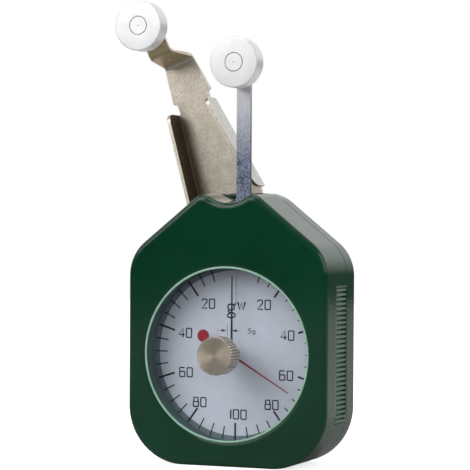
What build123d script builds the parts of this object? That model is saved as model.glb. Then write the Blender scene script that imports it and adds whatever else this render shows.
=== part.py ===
"""Hand-held dial tension gauge: a cast housing with a round dial, a measuring arm whose
sector turns the pointer, and a swinging sheet-metal guard that carries the second roller.

Frame: +X right, +Y from the dial towards the back, +Z up. The origin is at the centre of the
flat bottom, midway between the front and the back. Millimetres and degrees.
"""

import os
from math import asin, cos, degrees, hypot, radians, sin, tan

from build123d import *

os.makedirs("parts", exist_ok=True)

# ------------------------------------------------------------------ fits
PRESS_GAP = 0.02
RUNNING_GAP = 0.04
SEAT_GAP = 0.05
FREE_GAP = 0.3

# ------------------------------------------------------------------ housing
BODY_WIDTH = 60.0
BODY_DEPTH = 25.0
COVER_DEPTH = 7.5
COVER_HEIGHT = 77.15
COVER_TOP_HALF = 8.0
SLOPE_ANGLE = 38.9
SHOULDER_RADIUS = 12.2
LOWER_CORNER_RADIUS = 16.5
COVER_CROWN_RADIUS = 10.0
INNER_CROWN_RADIUS = 3.0
EDGE_RADIUS = 1.5
SEAM_CHAMFER = 0.3
WALL = 2.2

SCOOP_RADIUS = 10.2
SCOOP_FLOOR = 74.2
SCOOP_RISE = 3.1
RIDGE_RADIUS = 3.4
ROOF = 2.4

GRIP_LOW = 12.3
GRIP_HIGH = 50.6
GRIP_FRONT_DEPTH = 8.4
GRIP_BACK_MARGIN = 0.5
GRIP_RECESS = 0.8
RIB_COUNT = 29
RIB_RADIUS = 0.5
RIB_BACK_MARGIN = 0.5

# ------------------------------------------------------------------ dial, lens and well
DIAL_HEIGHT = 31.6
OPENING_RADIUS = 24.7
OPENING_EDGE = 0.5
LIP = 1.5
LENS_RADIUS = 25.8
LENS_THICKNESS = 1.5
WELL_WALL = 1.5
SPACER_WALL = 0.8
DIAL_DEPTH = 8.2
DIAL_RADIUS = 27.1
DIAL_THICKNESS = 0.5
DIAL_HOLE_RADIUS = 1.3

# ------------------------------------------------------------------ gearing
GEAR_MODULE = 0.25
PINION_TEETH = 12
SECTOR_TEETH = 180
SECTOR_CUT_TEETH = 15
GEAR_THICKNESS = 1.0
TOOTH_SHARE = 0.4
TOOTH_TIP_SHARE = 0.45
TOOTH_ROOT_SHARE = 1.4
TOOTH_BOTTOM_CLEARANCE = 0.3
SECTOR_BAND = 3.0
SECTOR_ARM_HALF = 3.2
SECTOR_END_ANGLE = 0.8

# ------------------------------------------------------------------ movement frame
PLATE_THICKNESS = 1.2
PLATE_SPACING = 7.0
PLATE_CORNER = 2.4
FRONT_PLATE_RADIUS = 26.6
FRONT_PLATE_HALF = 13.0
FRONT_PLATE_RISE = 11.0
REAR_PLATE_HALF = 13.5
REAR_PLATE_RISE = 5.0
REAR_PLATE_DROP = 14.6
PILLAR_RADIUS = 1.8
PILLAR_HALF = 11.0
PILLAR_RISE = 20.4
PILLAR_DROP = 9.6
POST_RADIUS = 2.4
UPPER_POST_HALF = 9.5
UPPER_POST_RISE = 30.9
LOWER_POST_HALF = 15.7
LOWER_POST_RISE = 3.6
STOP_PIN_RADIUS = 0.9
STOP_MARGIN_ANGLE = 0.6

# ------------------------------------------------------------------ screws
COVER_SCREW_HALF = 21.3
COVER_SCREW_LOW = 8.6
COVER_SCREW_HIGH = 58.2
COVER_BOSS_RADIUS = 3.0
COVER_SCREW_RADIUS = 1.25
COVER_SCREW_HEAD_RADIUS = 2.6
COVER_SCREW_LENGTH = 14.0
COUNTERSINK_ANGLE = 90.0
MOVEMENT_SCREW_RADIUS = 1.1
MOVEMENT_SCREW_HEAD_RADIUS = 2.1
MOVEMENT_SCREW_HEAD = 1.0
MOVEMENT_SCREW_LENGTH = 5.0
PLATE_SCREW_RADIUS = 0.8
PLATE_SCREW_HEAD_RADIUS = 1.6
PLATE_SCREW_HEAD = 0.7
PLATE_SCREW_LENGTH = 4.0
DRIVE_SLOT_WIDTH = 0.6
DRIVE_SLOT_DEPTH = 0.45

# ------------------------------------------------------------------ measuring arm
ARM_DEPTH = 12.8
ARM_WIDTH = 4.2
ARM_THICKNESS = 1.3
ARM_REACH = 58.5
ARM_HUB_RADIUS = 4.0
ARM_SWING = 12.0
ARM_SLOT_WIDTH = 3.1
ARM_SLOT_MARGIN = 0.5
ARM_SHAFT_RADIUS = 1.5
ARM_COLLAR_RADIUS = 2.3

# ------------------------------------------------------------------ rollers
ROLLER_RADIUS = 7.25
ROLLER_WIDTH = 5.0
ROLLER_EDGE = 0.35
ROLLER_DEPTH = 4.9
PIN_RADIUS = 1.2
PIN_HEAD_RADIUS = 2.8
PIN_HEAD = 0.9
PIN_HEAD_GAP = 0.15
PIN_COLLAR_RADIUS = 2.2
RIVET_RADIUS = 1.9
RIVET_HEIGHT = 0.4

# ------------------------------------------------------------------ pointers and reset knob
ARBOR_RADIUS = 0.75
ARBOR_COLLAR_RADIUS = 0.95
POINTER_THICKNESS = 0.3
POINTER_DEPTH = 4.9
POINTER_REACH = 22.0
POINTER_TAIL = 4.4
POINTER_HUB_RADIUS = 2.0
POINTER_BASE_HALF = 0.28
POINTER_TIP_HALF = 0.12
PEAK_DEPTH = 3.8
PEAK_ANGLE = 121.0
PEAK_REACH = 20.4
PEAK_HUB_RADIUS = 1.9
PEAK_BASE_HALF = 0.25
PEAK_TIP_HALF = 0.12
PEAK_DISC_REACH = 9.6
PEAK_DISC_RADIUS = 1.75
SPINDLE_RADIUS = 1.2
SPINDLE_SEAT = 4.2
BUSH_RADIUS = 2.2
BUSH_FLANGE_RADIUS = 3.2
BUSH_FLANGE = 0.6
KNOB_RADIUS = 5.4
KNOB_LENGTH = 5.7
KNOB_STANDOFF = 2.4
KNOB_GROOVES = 40
KNOB_GROOVE_RADIUS = 0.28
KNOB_CHAMFER = 0.4

# ------------------------------------------------------------------ springs
HAIRSPRING_GAP = 0.4
HAIRSPRING_PITCH = 0.9
HAIRSPRING_TURNS = 4
HAIRSPRING_STRIP = 0.14
HAIRSPRING_WIDTH = 0.8
MAIN_SPRING_GAP = 0.3
MAIN_SPRING_PITCH = 1.3
MAIN_SPRING_TURNS = 3
MAIN_SPRING_STRIP = 0.3
MAIN_SPRING_WIDTH = 1.2
STUD_RADIUS = 0.6

# ------------------------------------------------------------------ guard
GUARD_TILT = 23.1
GUARD_GAP = 0.4
SHEET = 1.0
SHEET_BEND = 0.35
SHELF_BEND = 1.1
GUARD_HALF = 14.3
GUARD_TAPER = 0.1445
GUARD_REACH = 75.8
FLANGE_LOW = 21.4
FLANGE_HIGH = 51.2
FLANGE_WIDTH = 8.8
FLANGE_CORNER = 2.6
NECK_HALF = 5.3
NECK_CORNER = 0.5
NECK_HIGH = 54.4
EYE_RADIUS = 8.0
FOOT_HALF = 9.6
SHELF_REACH = 66.2
SHELF_RISE = 5.5
SHELF_TIP_HALF = 3.5
SHELF_HOLE_RADIUS = 0.5
TAB_DEPTH = 12.9
TAB_END_HALF = 3.2

# ------------------------------------------------------------------ guard pivot
PIVOT_RADIUS = 3.0
PIVOT_HEAD_RADIUS = 5.2
PIVOT_HEAD = 1.8
PIVOT_THREAD_RADIUS = 2.0
PIVOT_THREAD = 4.5
PIVOT_BOSS_RADIUS = 6.0
PIVOT_BOSS = 3.1
FRICTION_WASHER_RADIUS = 7.0
SPRING_WASHER_RADIUS = 4.8
SPRING_WASHER = 0.25

# ------------------------------------------------------------------ depths and heights that follow
FRONT_Y = -BODY_DEPTH / 2
BACK_Y = BODY_DEPTH / 2
PARTING_Y = BACK_Y - COVER_DEPTH
HALF_WIDTH = BODY_WIDTH / 2
SLOPE = tan(radians(SLOPE_ANGLE))
APEX_Z = COVER_HEIGHT + COVER_TOP_HALF * SLOPE
ROOF_Z = SCOOP_FLOOR - ROOF

LENS_Y = FRONT_Y + LIP
LENS_BACK_Y = LENS_Y + LENS_THICKNESS
DIAL_Y = FRONT_Y + DIAL_DEPTH
DIAL_BACK_Y = DIAL_Y + DIAL_THICKNESS
FRONT_PLATE_Y = DIAL_BACK_Y + SEAT_GAP
FRONT_PLATE_BACK_Y = FRONT_PLATE_Y + PLATE_THICKNESS
REAR_PLATE_Y = FRONT_PLATE_BACK_Y + PLATE_SPACING
REAR_PLATE_BACK_Y = REAR_PLATE_Y + PLATE_THICKNESS
WELL_RADIUS = LENS_RADIUS + SEAT_GAP

PINION_RADIUS = GEAR_MODULE * PINION_TEETH / 2
SECTOR_RADIUS = GEAR_MODULE * SECTOR_TEETH / 2
PIVOT_Z = DIAL_HEIGHT + PINION_RADIUS + SECTOR_RADIUS
SECTOR_HALF_ANGLE = SECTOR_CUT_TEETH / 2 * 360 / SECTOR_TEETH + SECTOR_END_ANGLE
SECTOR_BAND_REACH = SECTOR_RADIUS - GEAR_MODULE * (1 + TOOTH_BOTTOM_CLEARANCE) - SECTOR_BAND / 2

ARM_Y = FRONT_Y + ARM_DEPTH
ARM_BACK_Y = ARM_Y + ARM_THICKNESS
SECTOR_Y = ARM_Y - GEAR_THICKNESS
ROLLER_Y = FRONT_Y + ROLLER_DEPTH
ROLLER_BACK_Y = ROLLER_Y + ROLLER_WIDTH
POINTER_Y = FRONT_Y + POINTER_DEPTH
PEAK_Y = FRONT_Y + PEAK_DEPTH
KNOB_BACK_Y = FRONT_Y - KNOB_STANDOFF

GUARD_Y = BACK_Y + GUARD_GAP
GUARD_BACK_Y = GUARD_Y + SHEET
FLANGE_Y = GUARD_BACK_Y - FLANGE_WIDTH
TAB_Y = FRONT_Y + TAB_DEPTH
TAB_BACK_Y = TAB_Y + SHEET
SPRING_WASHER_Y = GUARD_BACK_Y + SEAT_GAP / 2
PIVOT_HEAD_Y = SPRING_WASHER_Y + SPRING_WASHER + SEAT_GAP / 2
MAIN_SPRING_Y = REAR_PLATE_Y - FREE_GAP - MAIN_SPRING_WIDTH
HAIRSPRING_Y = REAR_PLATE_Y - FREE_GAP - HAIRSPRING_WIDTH

DIAL_CENTRE = (0, DIAL_HEIGHT)
PIVOT_CENTRE = (0, PIVOT_Z)
ARM_ROLLER_CENTRE = (0, PIVOT_Z + ARM_REACH)
GUARD_ROLLER_CENTRE = (
    -GUARD_REACH * sin(radians(GUARD_TILT)),
    PIVOT_Z + GUARD_REACH * cos(radians(GUARD_TILT)),
)
COVER_SCREW_POINTS = [
    (side * COVER_SCREW_HALF, height)
    for side in (-1, 1)
    for height in (COVER_SCREW_LOW, COVER_SCREW_HIGH)
]
LOWER_POST_Z = WALL + LOWER_POST_RISE
POST_POINTS = [
    (side * half, height)
    for side in (-1, 1)
    for half, height in ((UPPER_POST_HALF, DIAL_HEIGHT + UPPER_POST_RISE), (LOWER_POST_HALF, LOWER_POST_Z))
]
PILLAR_POINTS = [
    (side * PILLAR_HALF, DIAL_HEIGHT + rise) for side in (-1, 1) for rise in (PILLAR_RISE, -PILLAR_DROP)
]


def facing(y, centre=(0, 0), turn=0):
    """Plane at depth y and centre (X, Z) that faces the front, turned clockwise seen from there.

    Extrusions from it run towards the front.
    """
    angle = radians(turn)
    return Plane(origin=(centre[0], y, centre[1]), x_dir=(cos(angle), 0, -sin(angle)), z_dir=(0, -1, 0))


def guard_plane(y):
    """Plane at depth y round the guard's pivot, with its own Y running up the leaning guard."""
    return facing(y, PIVOT_CENTRE, -GUARD_TILT)


def guard_half(reach):
    """Half the guard's width at a distance from its pivot."""
    return GUARD_HALF - GUARD_TAPER * reach


def add_disc(radius, y_low, y_high, centre, mode=Mode.ADD):
    """A round bar along Y from y_low to y_high."""
    with BuildSketch(facing(y_high, centre)) as profile:
        Circle(radius)
    extrude(profile.sketch, amount=y_high - y_low, mode=mode)


def add_discs(radius, y_low, y_high, centres, mode=Mode.ADD):
    """Equal round bars along Y, one at each centre."""
    with BuildSketch(facing(y_high)) as profile:
        with Locations(*centres):
            Circle(radius)
    extrude(profile.sketch, amount=y_high - y_low, mode=mode)


def add_gable(y_low, y_high, inset, top, crown_radius, mode=Mode.ADD):
    """The housing's outline with its walls moved in by inset and its gable cut level at top."""
    half = HALF_WIDTH - inset
    apex = APEX_Z - inset / cos(radians(SLOPE_ANGLE))
    top_half = (apex - top) / SLOPE
    with BuildSketch(facing(y_high)) as profile:
        with BuildLine():
            FilletPolyline(
                (-half, inset),
                (half, inset),
                (half, apex - half * SLOPE),
                (top_half, top),
                (-top_half, top),
                (-half, apex - half * SLOPE),
                radius=[
                    LOWER_CORNER_RADIUS - inset,
                    LOWER_CORNER_RADIUS - inset,
                    SHOULDER_RADIUS - inset,
                    crown_radius,
                    crown_radius,
                    SHOULDER_RADIUS - inset,
                ],
                close=True,
            )
        make_face()
    extrude(profile.sketch, amount=y_high - y_low, mode=mode)


def tooth_points(teeth, count, middle):
    """Corner points of a run of straight-sided gear teeth round the sketch's origin."""
    radius = GEAR_MODULE * teeth / 2
    tip = radius + GEAR_MODULE
    root = radius - GEAR_MODULE * (1 + TOOTH_BOTTOM_CLEARANCE)
    pitch = 360 / teeth
    half_tooth = pitch * TOOTH_SHARE / 2
    points = []
    for tooth in range(count):
        centre = middle + (tooth - (count - 1) / 2) * pitch
        for reach, offset in (
            (root, -half_tooth * TOOTH_ROOT_SHARE),
            (tip, -half_tooth * TOOTH_TIP_SHARE),
            (tip, half_tooth * TOOTH_TIP_SHARE),
            (root, half_tooth * TOOTH_ROOT_SHARE),
        ):
            angle = radians(centre + offset)
            points.append((reach * cos(angle), reach * sin(angle)))
    return points


def spiral_radius(inner, pitch, turns):
    """Distance from the centre to the outer end of a flat spiral."""
    return inner + (turns - 1 / 4) * pitch


def add_spiral(inner, pitch, turns, strip, y_low, y_high, centre):
    """A flat spiral spring, drawn as half rings about two alternating centres."""
    with BuildSketch(facing(y_high, centre)) as profile:
        with BuildLine():
            for half_turn in range(2 * turns):
                side = 1 if half_turn % 2 else -1
                radius = inner + half_turn * pitch / 2
                CenterArc((side * pitch / 4, 0), radius, 0 if side < 0 else 180, 180)
        trace(line_width=strip)
    extrude(profile.sketch, amount=y_high - y_low)


def add_roller(centre):
    """A turned roller, counterbored in front for its pin's head."""
    add_disc(ROLLER_RADIUS, ROLLER_Y, ROLLER_BACK_Y, centre)
    chamfer(edges(Select.LAST).filter_by(GeomType.CIRCLE), ROLLER_EDGE)
    add_disc(PIN_RADIUS + RUNNING_GAP, ROLLER_Y, ROLLER_BACK_Y, centre, Mode.SUBTRACT)
    add_disc(PIN_HEAD_RADIUS + PIN_HEAD_GAP, ROLLER_Y, ROLLER_Y + PIN_HEAD + SEAT_GAP, centre, Mode.SUBTRACT)


def add_roller_pin(centre, carrier_y, carrier_back_y):
    """A headed pin with a collar in front of its carrier and a rivet head behind it."""
    add_disc(PIN_HEAD_RADIUS, ROLLER_Y, ROLLER_Y + PIN_HEAD, centre)
    add_disc(PIN_RADIUS, ROLLER_Y, carrier_back_y + RIVET_HEIGHT, centre)
    add_disc(PIN_COLLAR_RADIUS, ROLLER_BACK_Y + SEAT_GAP, carrier_y, centre)
    add_disc(RIVET_RADIUS, carrier_back_y, carrier_back_y + RIVET_HEIGHT, centre)


def add_screws(points, radius, head_radius, head, length, seat_y, towards_front):
    """Slotted cheese-head screws seated at seat_y, their shanks running to the front or back."""
    head_side = 1 if towards_front else -1
    head_y = seat_y + head_side * head
    tip_y = seat_y - head_side * length
    add_discs(radius, min(seat_y, tip_y), max(seat_y, tip_y), points)
    add_discs(head_radius, min(seat_y, head_y), max(seat_y, head_y), points)
    slot_y = head_y - head_side * DRIVE_SLOT_DEPTH
    with BuildSketch(facing(max(head_y, slot_y))) as profile:
        with Locations(*points):
            Rectangle(2 * head_radius, DRIVE_SLOT_WIDTH)
    extrude(profile.sketch, amount=DRIVE_SLOT_DEPTH, mode=Mode.SUBTRACT)


def add_needle(y, turn, reach, base_half, tip_half, hub_radius, tail):
    """A thin pointer with its hub, turned clockwise from twelve o'clock."""
    with BuildSketch(facing(y + POINTER_THICKNESS, DIAL_CENTRE, turn)) as profile:
        Circle(hub_radius)
        with BuildLine():
            Polyline(
                (-base_half, -tail),
                (base_half, -tail),
                (base_half, hub_radius),
                (tip_half, reach),
                (-tip_half, reach),
                (-base_half, hub_radius),
                close=True,
            )
        make_face()
    extrude(profile.sketch, amount=POINTER_THICKNESS)


# ================================================================== housing
with BuildPart() as front_housing:
    # cast shell: gable outline with a scoop across its top that rises towards the back
    add_gable(FRONT_Y, PARTING_Y, 0, SCOOP_FLOOR + SCOOP_RADIUS / 2, OPENING_EDGE)
    scoop_axis = Plane(
        origin=(0, FRONT_Y, SCOOP_FLOOR + SCOOP_RADIUS),
        x_dir=(1, 0, 0),
        z_dir=(0, cos(radians(SCOOP_RISE)), sin(radians(SCOOP_RISE))),
    )
    with BuildSketch(scoop_axis):
        Circle(SCOOP_RADIUS)
    extrude(amount=2 * BODY_DEPTH, both=True, mode=Mode.SUBTRACT)
    ridges = front_housing.edges().filter_by(
        lambda edge: edge.length > (PARTING_Y - FRONT_Y) / 2 and edge.center().Z > SCOOP_FLOOR
    )
    fillet(ridges, RIDGE_RADIUS)
    fillet(front_housing.faces().sort_by(Axis.Y)[0].edges(), EDGE_RADIUS)
    # hollow, with the wall of the dial's well, four screw bosses and four movement posts in it,
    # and clear all round the dial plate so that it goes in from behind
    add_gable(FRONT_Y + WALL, PARTING_Y, WALL, ROOF_Z, INNER_CROWN_RADIUS, Mode.SUBTRACT)
    add_disc(WELL_RADIUS + WELL_WALL, FRONT_Y + WALL, DIAL_Y, DIAL_CENTRE)
    add_discs(COVER_BOSS_RADIUS, FRONT_Y + WALL, PARTING_Y, COVER_SCREW_POINTS)
    add_disc(DIAL_RADIUS + SEAT_GAP, DIAL_Y, PARTING_Y, DIAL_CENTRE, Mode.SUBTRACT)
    add_discs(POST_RADIUS, FRONT_Y + WALL, FRONT_PLATE_Y, POST_POINTS)
    add_disc(WELL_RADIUS, LENS_Y, DIAL_Y, DIAL_CENTRE, Mode.SUBTRACT)
    add_disc(OPENING_RADIUS, FRONT_Y, LENS_Y, DIAL_CENTRE, Mode.SUBTRACT)
    opening_edges = front_housing.edges().filter_by(GeomType.CIRCLE).group_by(Axis.Y)[0]
    fillet(opening_edges.filter_by(lambda edge: edge.radius == OPENING_RADIUS), OPENING_EDGE)
    screw_reach = COVER_SCREW_LENGTH - COVER_DEPTH + FREE_GAP
    screw_hole = COVER_SCREW_RADIUS + PRESS_GAP
    add_discs(screw_hole, PARTING_Y - screw_reach, PARTING_Y, COVER_SCREW_POINTS, Mode.SUBTRACT)
    post_reach = MOVEMENT_SCREW_LENGTH - PLATE_THICKNESS + FREE_GAP
    post_hole = MOVEMENT_SCREW_RADIUS + PRESS_GAP
    add_discs(post_hole, FRONT_PLATE_Y - post_reach, FRONT_PLATE_Y, POST_POINTS, Mode.SUBTRACT)
    # slot that the measuring arm swings in
    arm_slot_half = (COVER_HEIGHT - PIVOT_Z) * tan(radians(ARM_SWING)) + ARM_WIDTH / 2 + ARM_SLOT_MARGIN
    with BuildSketch(Plane.XY.offset(ROOF_Z - ROOF)):
        with Locations((0, ARM_Y + ARM_THICKNESS / 2)):
            SlotOverall(2 * arm_slot_half, ARM_SLOT_WIDTH)
    extrude(amount=APEX_Z - ROOF_Z, mode=Mode.SUBTRACT)
    # finger grips: a shallow recess in each flank with half-round ribs across it
    grip_y = FRONT_Y + GRIP_FRONT_DEPTH
    grip_back_y = PARTING_Y - GRIP_BACK_MARGIN
    grip_middle = (GRIP_LOW + GRIP_HIGH) / 2
    rib_pitch = (GRIP_HIGH - GRIP_LOW) / RIB_COUNT
    with BuildSketch(facing(grip_back_y)):
        for side in (-1, 1):
            with Locations((side * HALF_WIDTH, grip_middle)):
                Rectangle(2 * GRIP_RECESS, GRIP_HIGH - GRIP_LOW)
    extrude(amount=grip_back_y - grip_y, mode=Mode.SUBTRACT)
    with BuildSketch(facing(grip_back_y - RIB_BACK_MARGIN)):
        for side in (-1, 1):
            with Locations((side * (HALF_WIDTH - GRIP_RECESS), grip_middle)):
                with GridLocations(rib_pitch, rib_pitch, 1, RIB_COUNT):
                    Circle(RIB_RADIUS)
    extrude(amount=grip_back_y - RIB_BACK_MARGIN - grip_y)
front_housing.part.label = "front_housing"
export_step(front_housing.part, "parts/front_housing.step")

with BuildPart() as rear_cover:
    add_gable(PARTING_Y, BACK_Y, 0, COVER_HEIGHT, COVER_CROWN_RADIUS)
    fillet(rear_cover.faces().sort_by(Axis.Y)[-1].edges(), EDGE_RADIUS)
    chamfer(rear_cover.faces().sort_by(Axis.Y)[0].edges(), SEAM_CHAMFER)
    add_gable(PARTING_Y, BACK_Y - WALL, WALL, ROOF_Z, INNER_CROWN_RADIUS, Mode.SUBTRACT)
    add_discs(COVER_BOSS_RADIUS, PARTING_Y, BACK_Y - WALL, COVER_SCREW_POINTS)
    add_disc(PIVOT_BOSS_RADIUS, BACK_Y - WALL - PIVOT_BOSS, BACK_Y - WALL, PIVOT_CENTRE)
    from_behind = Plane(origin=(0, BACK_Y, 0), x_dir=(-1, 0, 0), z_dir=(0, 1, 0))
    with Locations(from_behind):
        with Locations(*COVER_SCREW_POINTS):
            CounterSinkHole(
                COVER_SCREW_RADIUS + PRESS_GAP,
                COVER_SCREW_HEAD_RADIUS + PRESS_GAP,
                depth=COVER_DEPTH,
                counter_sink_angle=COUNTERSINK_ANGLE,
            )
    add_disc(
        PIVOT_THREAD_RADIUS + PRESS_GAP, BACK_Y - WALL - PIVOT_BOSS, BACK_Y, PIVOT_CENTRE, Mode.SUBTRACT
    )
rear_cover.part.label = "rear_cover"
export_step(rear_cover.part, "parts/rear_cover.step")

with BuildPart() as cover_screws:
    cone_depth = (COVER_SCREW_HEAD_RADIUS - COVER_SCREW_RADIUS) / tan(radians(COUNTERSINK_ANGLE / 2))
    add_discs(COVER_SCREW_RADIUS, BACK_Y - COVER_SCREW_LENGTH, BACK_Y, COVER_SCREW_POINTS)
    with BuildSketch(facing(BACK_Y)):
        with Locations(*COVER_SCREW_POINTS):
            Circle(COVER_SCREW_HEAD_RADIUS)
    extrude(amount=cone_depth, taper=COUNTERSINK_ANGLE / 2)
    with BuildSketch(facing(BACK_Y)):
        with Locations(*COVER_SCREW_POINTS):
            Rectangle(2 * COVER_SCREW_HEAD_RADIUS, DRIVE_SLOT_WIDTH)
    extrude(amount=DRIVE_SLOT_DEPTH, mode=Mode.SUBTRACT)
cover_screws.part.label = "cover_screws"
export_step(cover_screws.part, "parts/cover_screws.step")

# ================================================================== lens and dial
with BuildPart() as lens:
    add_disc(LENS_RADIUS, LENS_Y, LENS_BACK_Y, DIAL_CENTRE)
    add_disc(BUSH_RADIUS + PRESS_GAP, LENS_Y, LENS_BACK_Y, DIAL_CENTRE, Mode.SUBTRACT)
lens.part.label = "lens"
export_step(lens.part, "parts/lens.step")

with BuildPart() as lens_bush:
    add_disc(BUSH_FLANGE_RADIUS, LENS_Y - BUSH_FLANGE, LENS_Y, DIAL_CENTRE)
    add_disc(BUSH_RADIUS, LENS_Y, LENS_BACK_Y, DIAL_CENTRE)
    add_disc(SPINDLE_RADIUS + RUNNING_GAP, LENS_Y - BUSH_FLANGE, LENS_BACK_Y, DIAL_CENTRE, Mode.SUBTRACT)
lens_bush.part.label = "lens_bush"
export_step(lens_bush.part, "parts/lens_bush.step")

with BuildPart() as spacer_ring:
    add_disc(LENS_RADIUS, LENS_BACK_Y, DIAL_Y, DIAL_CENTRE)
    add_disc(LENS_RADIUS - SPACER_WALL, LENS_BACK_Y, DIAL_Y, DIAL_CENTRE, Mode.SUBTRACT)
spacer_ring.part.label = "spacer_ring"
export_step(spacer_ring.part, "parts/spacer_ring.step")

with BuildPart() as dial_plate:
    add_disc(DIAL_RADIUS, DIAL_Y, DIAL_BACK_Y, DIAL_CENTRE)
    add_disc(DIAL_HOLE_RADIUS, DIAL_Y, DIAL_BACK_Y, DIAL_CENTRE, Mode.SUBTRACT)
    add_discs(POST_RADIUS + SEAT_GAP, DIAL_Y, DIAL_BACK_Y, POST_POINTS, Mode.SUBTRACT)
dial_plate.part.label = "dial_plate"
export_step(dial_plate.part, "parts/dial_plate.step")

# ================================================================== movement frame
with BuildPart() as front_plate:
    upper_top = PIVOT_Z + FRONT_PLATE_RISE
    lower_low = LOWER_POST_Z - PLATE_CORNER
    with BuildSketch(facing(FRONT_PLATE_BACK_Y)):
        with Locations(DIAL_CENTRE):
            Circle(FRONT_PLATE_RADIUS)
        with Locations((0, (DIAL_HEIGHT + upper_top) / 2)):
            RectangleRounded(2 * FRONT_PLATE_HALF, upper_top - DIAL_HEIGHT, PLATE_CORNER)
        with Locations((0, (DIAL_HEIGHT + lower_low) / 2)):
            RectangleRounded(2 * (LOWER_POST_HALF + PLATE_CORNER), DIAL_HEIGHT - lower_low, PLATE_CORNER)
        with Locations(DIAL_CENTRE):
            Circle(ARBOR_RADIUS + RUNNING_GAP, mode=Mode.SUBTRACT)
        with Locations(PIVOT_CENTRE):
            Circle(ARM_SHAFT_RADIUS + RUNNING_GAP, mode=Mode.SUBTRACT)
        with Locations(*POST_POINTS):
            Circle(MOVEMENT_SCREW_RADIUS + PRESS_GAP, mode=Mode.SUBTRACT)
    extrude(amount=PLATE_THICKNESS)
front_plate.part.label = "front_plate"
export_step(front_plate.part, "parts/front_plate.step")

with BuildPart() as rear_plate:
    plate_low = DIAL_HEIGHT - REAR_PLATE_DROP
    plate_high = PIVOT_Z + REAR_PLATE_RISE
    with BuildSketch(facing(REAR_PLATE_BACK_Y)):
        with Locations((0, (plate_low + plate_high) / 2)):
            RectangleRounded(2 * REAR_PLATE_HALF, plate_high - plate_low, PLATE_CORNER)
        with Locations(DIAL_CENTRE):
            Circle(ARBOR_RADIUS + RUNNING_GAP, mode=Mode.SUBTRACT)
        with Locations(PIVOT_CENTRE):
            Circle(ARM_SHAFT_RADIUS + RUNNING_GAP, mode=Mode.SUBTRACT)
        with Locations(*PILLAR_POINTS):
            Circle(PLATE_SCREW_RADIUS + PRESS_GAP, mode=Mode.SUBTRACT)
    extrude(amount=PLATE_THICKNESS)
rear_plate.part.label = "rear_plate"
export_step(rear_plate.part, "parts/rear_plate.step")

with BuildPart() as plate_pillars:
    thread_depth = PLATE_SCREW_LENGTH - PLATE_THICKNESS + FREE_GAP
    add_discs(PILLAR_RADIUS, FRONT_PLATE_BACK_Y, REAR_PLATE_Y, PILLAR_POINTS)
    pillar_hole = PLATE_SCREW_RADIUS + PRESS_GAP
    add_discs(pillar_hole, REAR_PLATE_Y - thread_depth, REAR_PLATE_Y, PILLAR_POINTS, Mode.SUBTRACT)
plate_pillars.part.label = "plate_pillars"
export_step(plate_pillars.part, "parts/plate_pillars.step")

with BuildPart() as plate_screws:
    add_screws(
        PILLAR_POINTS,
        PLATE_SCREW_RADIUS,
        PLATE_SCREW_HEAD_RADIUS,
        PLATE_SCREW_HEAD,
        PLATE_SCREW_LENGTH,
        REAR_PLATE_BACK_Y,
        towards_front=True,
    )
plate_screws.part.label = "plate_screws"
export_step(plate_screws.part, "parts/plate_screws.step")

with BuildPart() as movement_screws:
    add_screws(
        POST_POINTS,
        MOVEMENT_SCREW_RADIUS,
        MOVEMENT_SCREW_HEAD_RADIUS,
        MOVEMENT_SCREW_HEAD,
        MOVEMENT_SCREW_LENGTH,
        FRONT_PLATE_BACK_Y,
        towards_front=True,
    )
movement_screws.part.label = "movement_screws"
export_step(movement_screws.part, "parts/movement_screws.step")

with BuildPart() as stop_pins:
    pin_width_angle = degrees(asin(STOP_PIN_RADIUS / SECTOR_BAND_REACH))
    stop_angle = radians(SECTOR_HALF_ANGLE + ARM_SWING + pin_width_angle + STOP_MARGIN_ANGLE)
    stop_points = [
        (side * SECTOR_BAND_REACH * sin(stop_angle), PIVOT_Z - SECTOR_BAND_REACH * cos(stop_angle))
        for side in (-1, 1)
    ]
    add_discs(STOP_PIN_RADIUS, FRONT_PLATE_BACK_Y, ARM_Y, stop_points)
stop_pins.part.label = "stop_pins"
export_step(stop_pins.part, "parts/stop_pins.step")

# ================================================================== springs and their studs
HAIRSPRING_INNER = ARBOR_RADIUS + HAIRSPRING_GAP + HAIRSPRING_PITCH / 4
MAIN_SPRING_INNER = ARM_COLLAR_RADIUS + MAIN_SPRING_GAP + MAIN_SPRING_PITCH / 4

with BuildPart() as hairspring:
    add_spiral(
        HAIRSPRING_INNER,
        HAIRSPRING_PITCH,
        HAIRSPRING_TURNS,
        HAIRSPRING_STRIP,
        HAIRSPRING_Y,
        HAIRSPRING_Y + HAIRSPRING_WIDTH,
        DIAL_CENTRE,
    )
hairspring.part.label = "hairspring"
export_step(hairspring.part, "parts/hairspring.step")

with BuildPart() as measuring_spring:
    add_spiral(
        MAIN_SPRING_INNER,
        MAIN_SPRING_PITCH,
        MAIN_SPRING_TURNS,
        MAIN_SPRING_STRIP,
        MAIN_SPRING_Y,
        MAIN_SPRING_Y + MAIN_SPRING_WIDTH,
        PIVOT_CENTRE,
    )
measuring_spring.part.label = "measuring_spring"
export_step(measuring_spring.part, "parts/measuring_spring.step")

with BuildPart() as spring_studs:
    for centre, inner, pitch, turns, low_y in (
        (DIAL_CENTRE, HAIRSPRING_INNER, HAIRSPRING_PITCH, HAIRSPRING_TURNS, HAIRSPRING_Y),
        (PIVOT_CENTRE, MAIN_SPRING_INNER, MAIN_SPRING_PITCH, MAIN_SPRING_TURNS, MAIN_SPRING_Y),
    ):
        stud_x = centre[0] + spiral_radius(inner, pitch, turns)
        add_disc(STUD_RADIUS, low_y, REAR_PLATE_Y, (stud_x, centre[1] + STUD_RADIUS + PRESS_GAP))
spring_studs.part.label = "spring_studs"
export_step(spring_studs.part, "parts/spring_studs.step")

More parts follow.
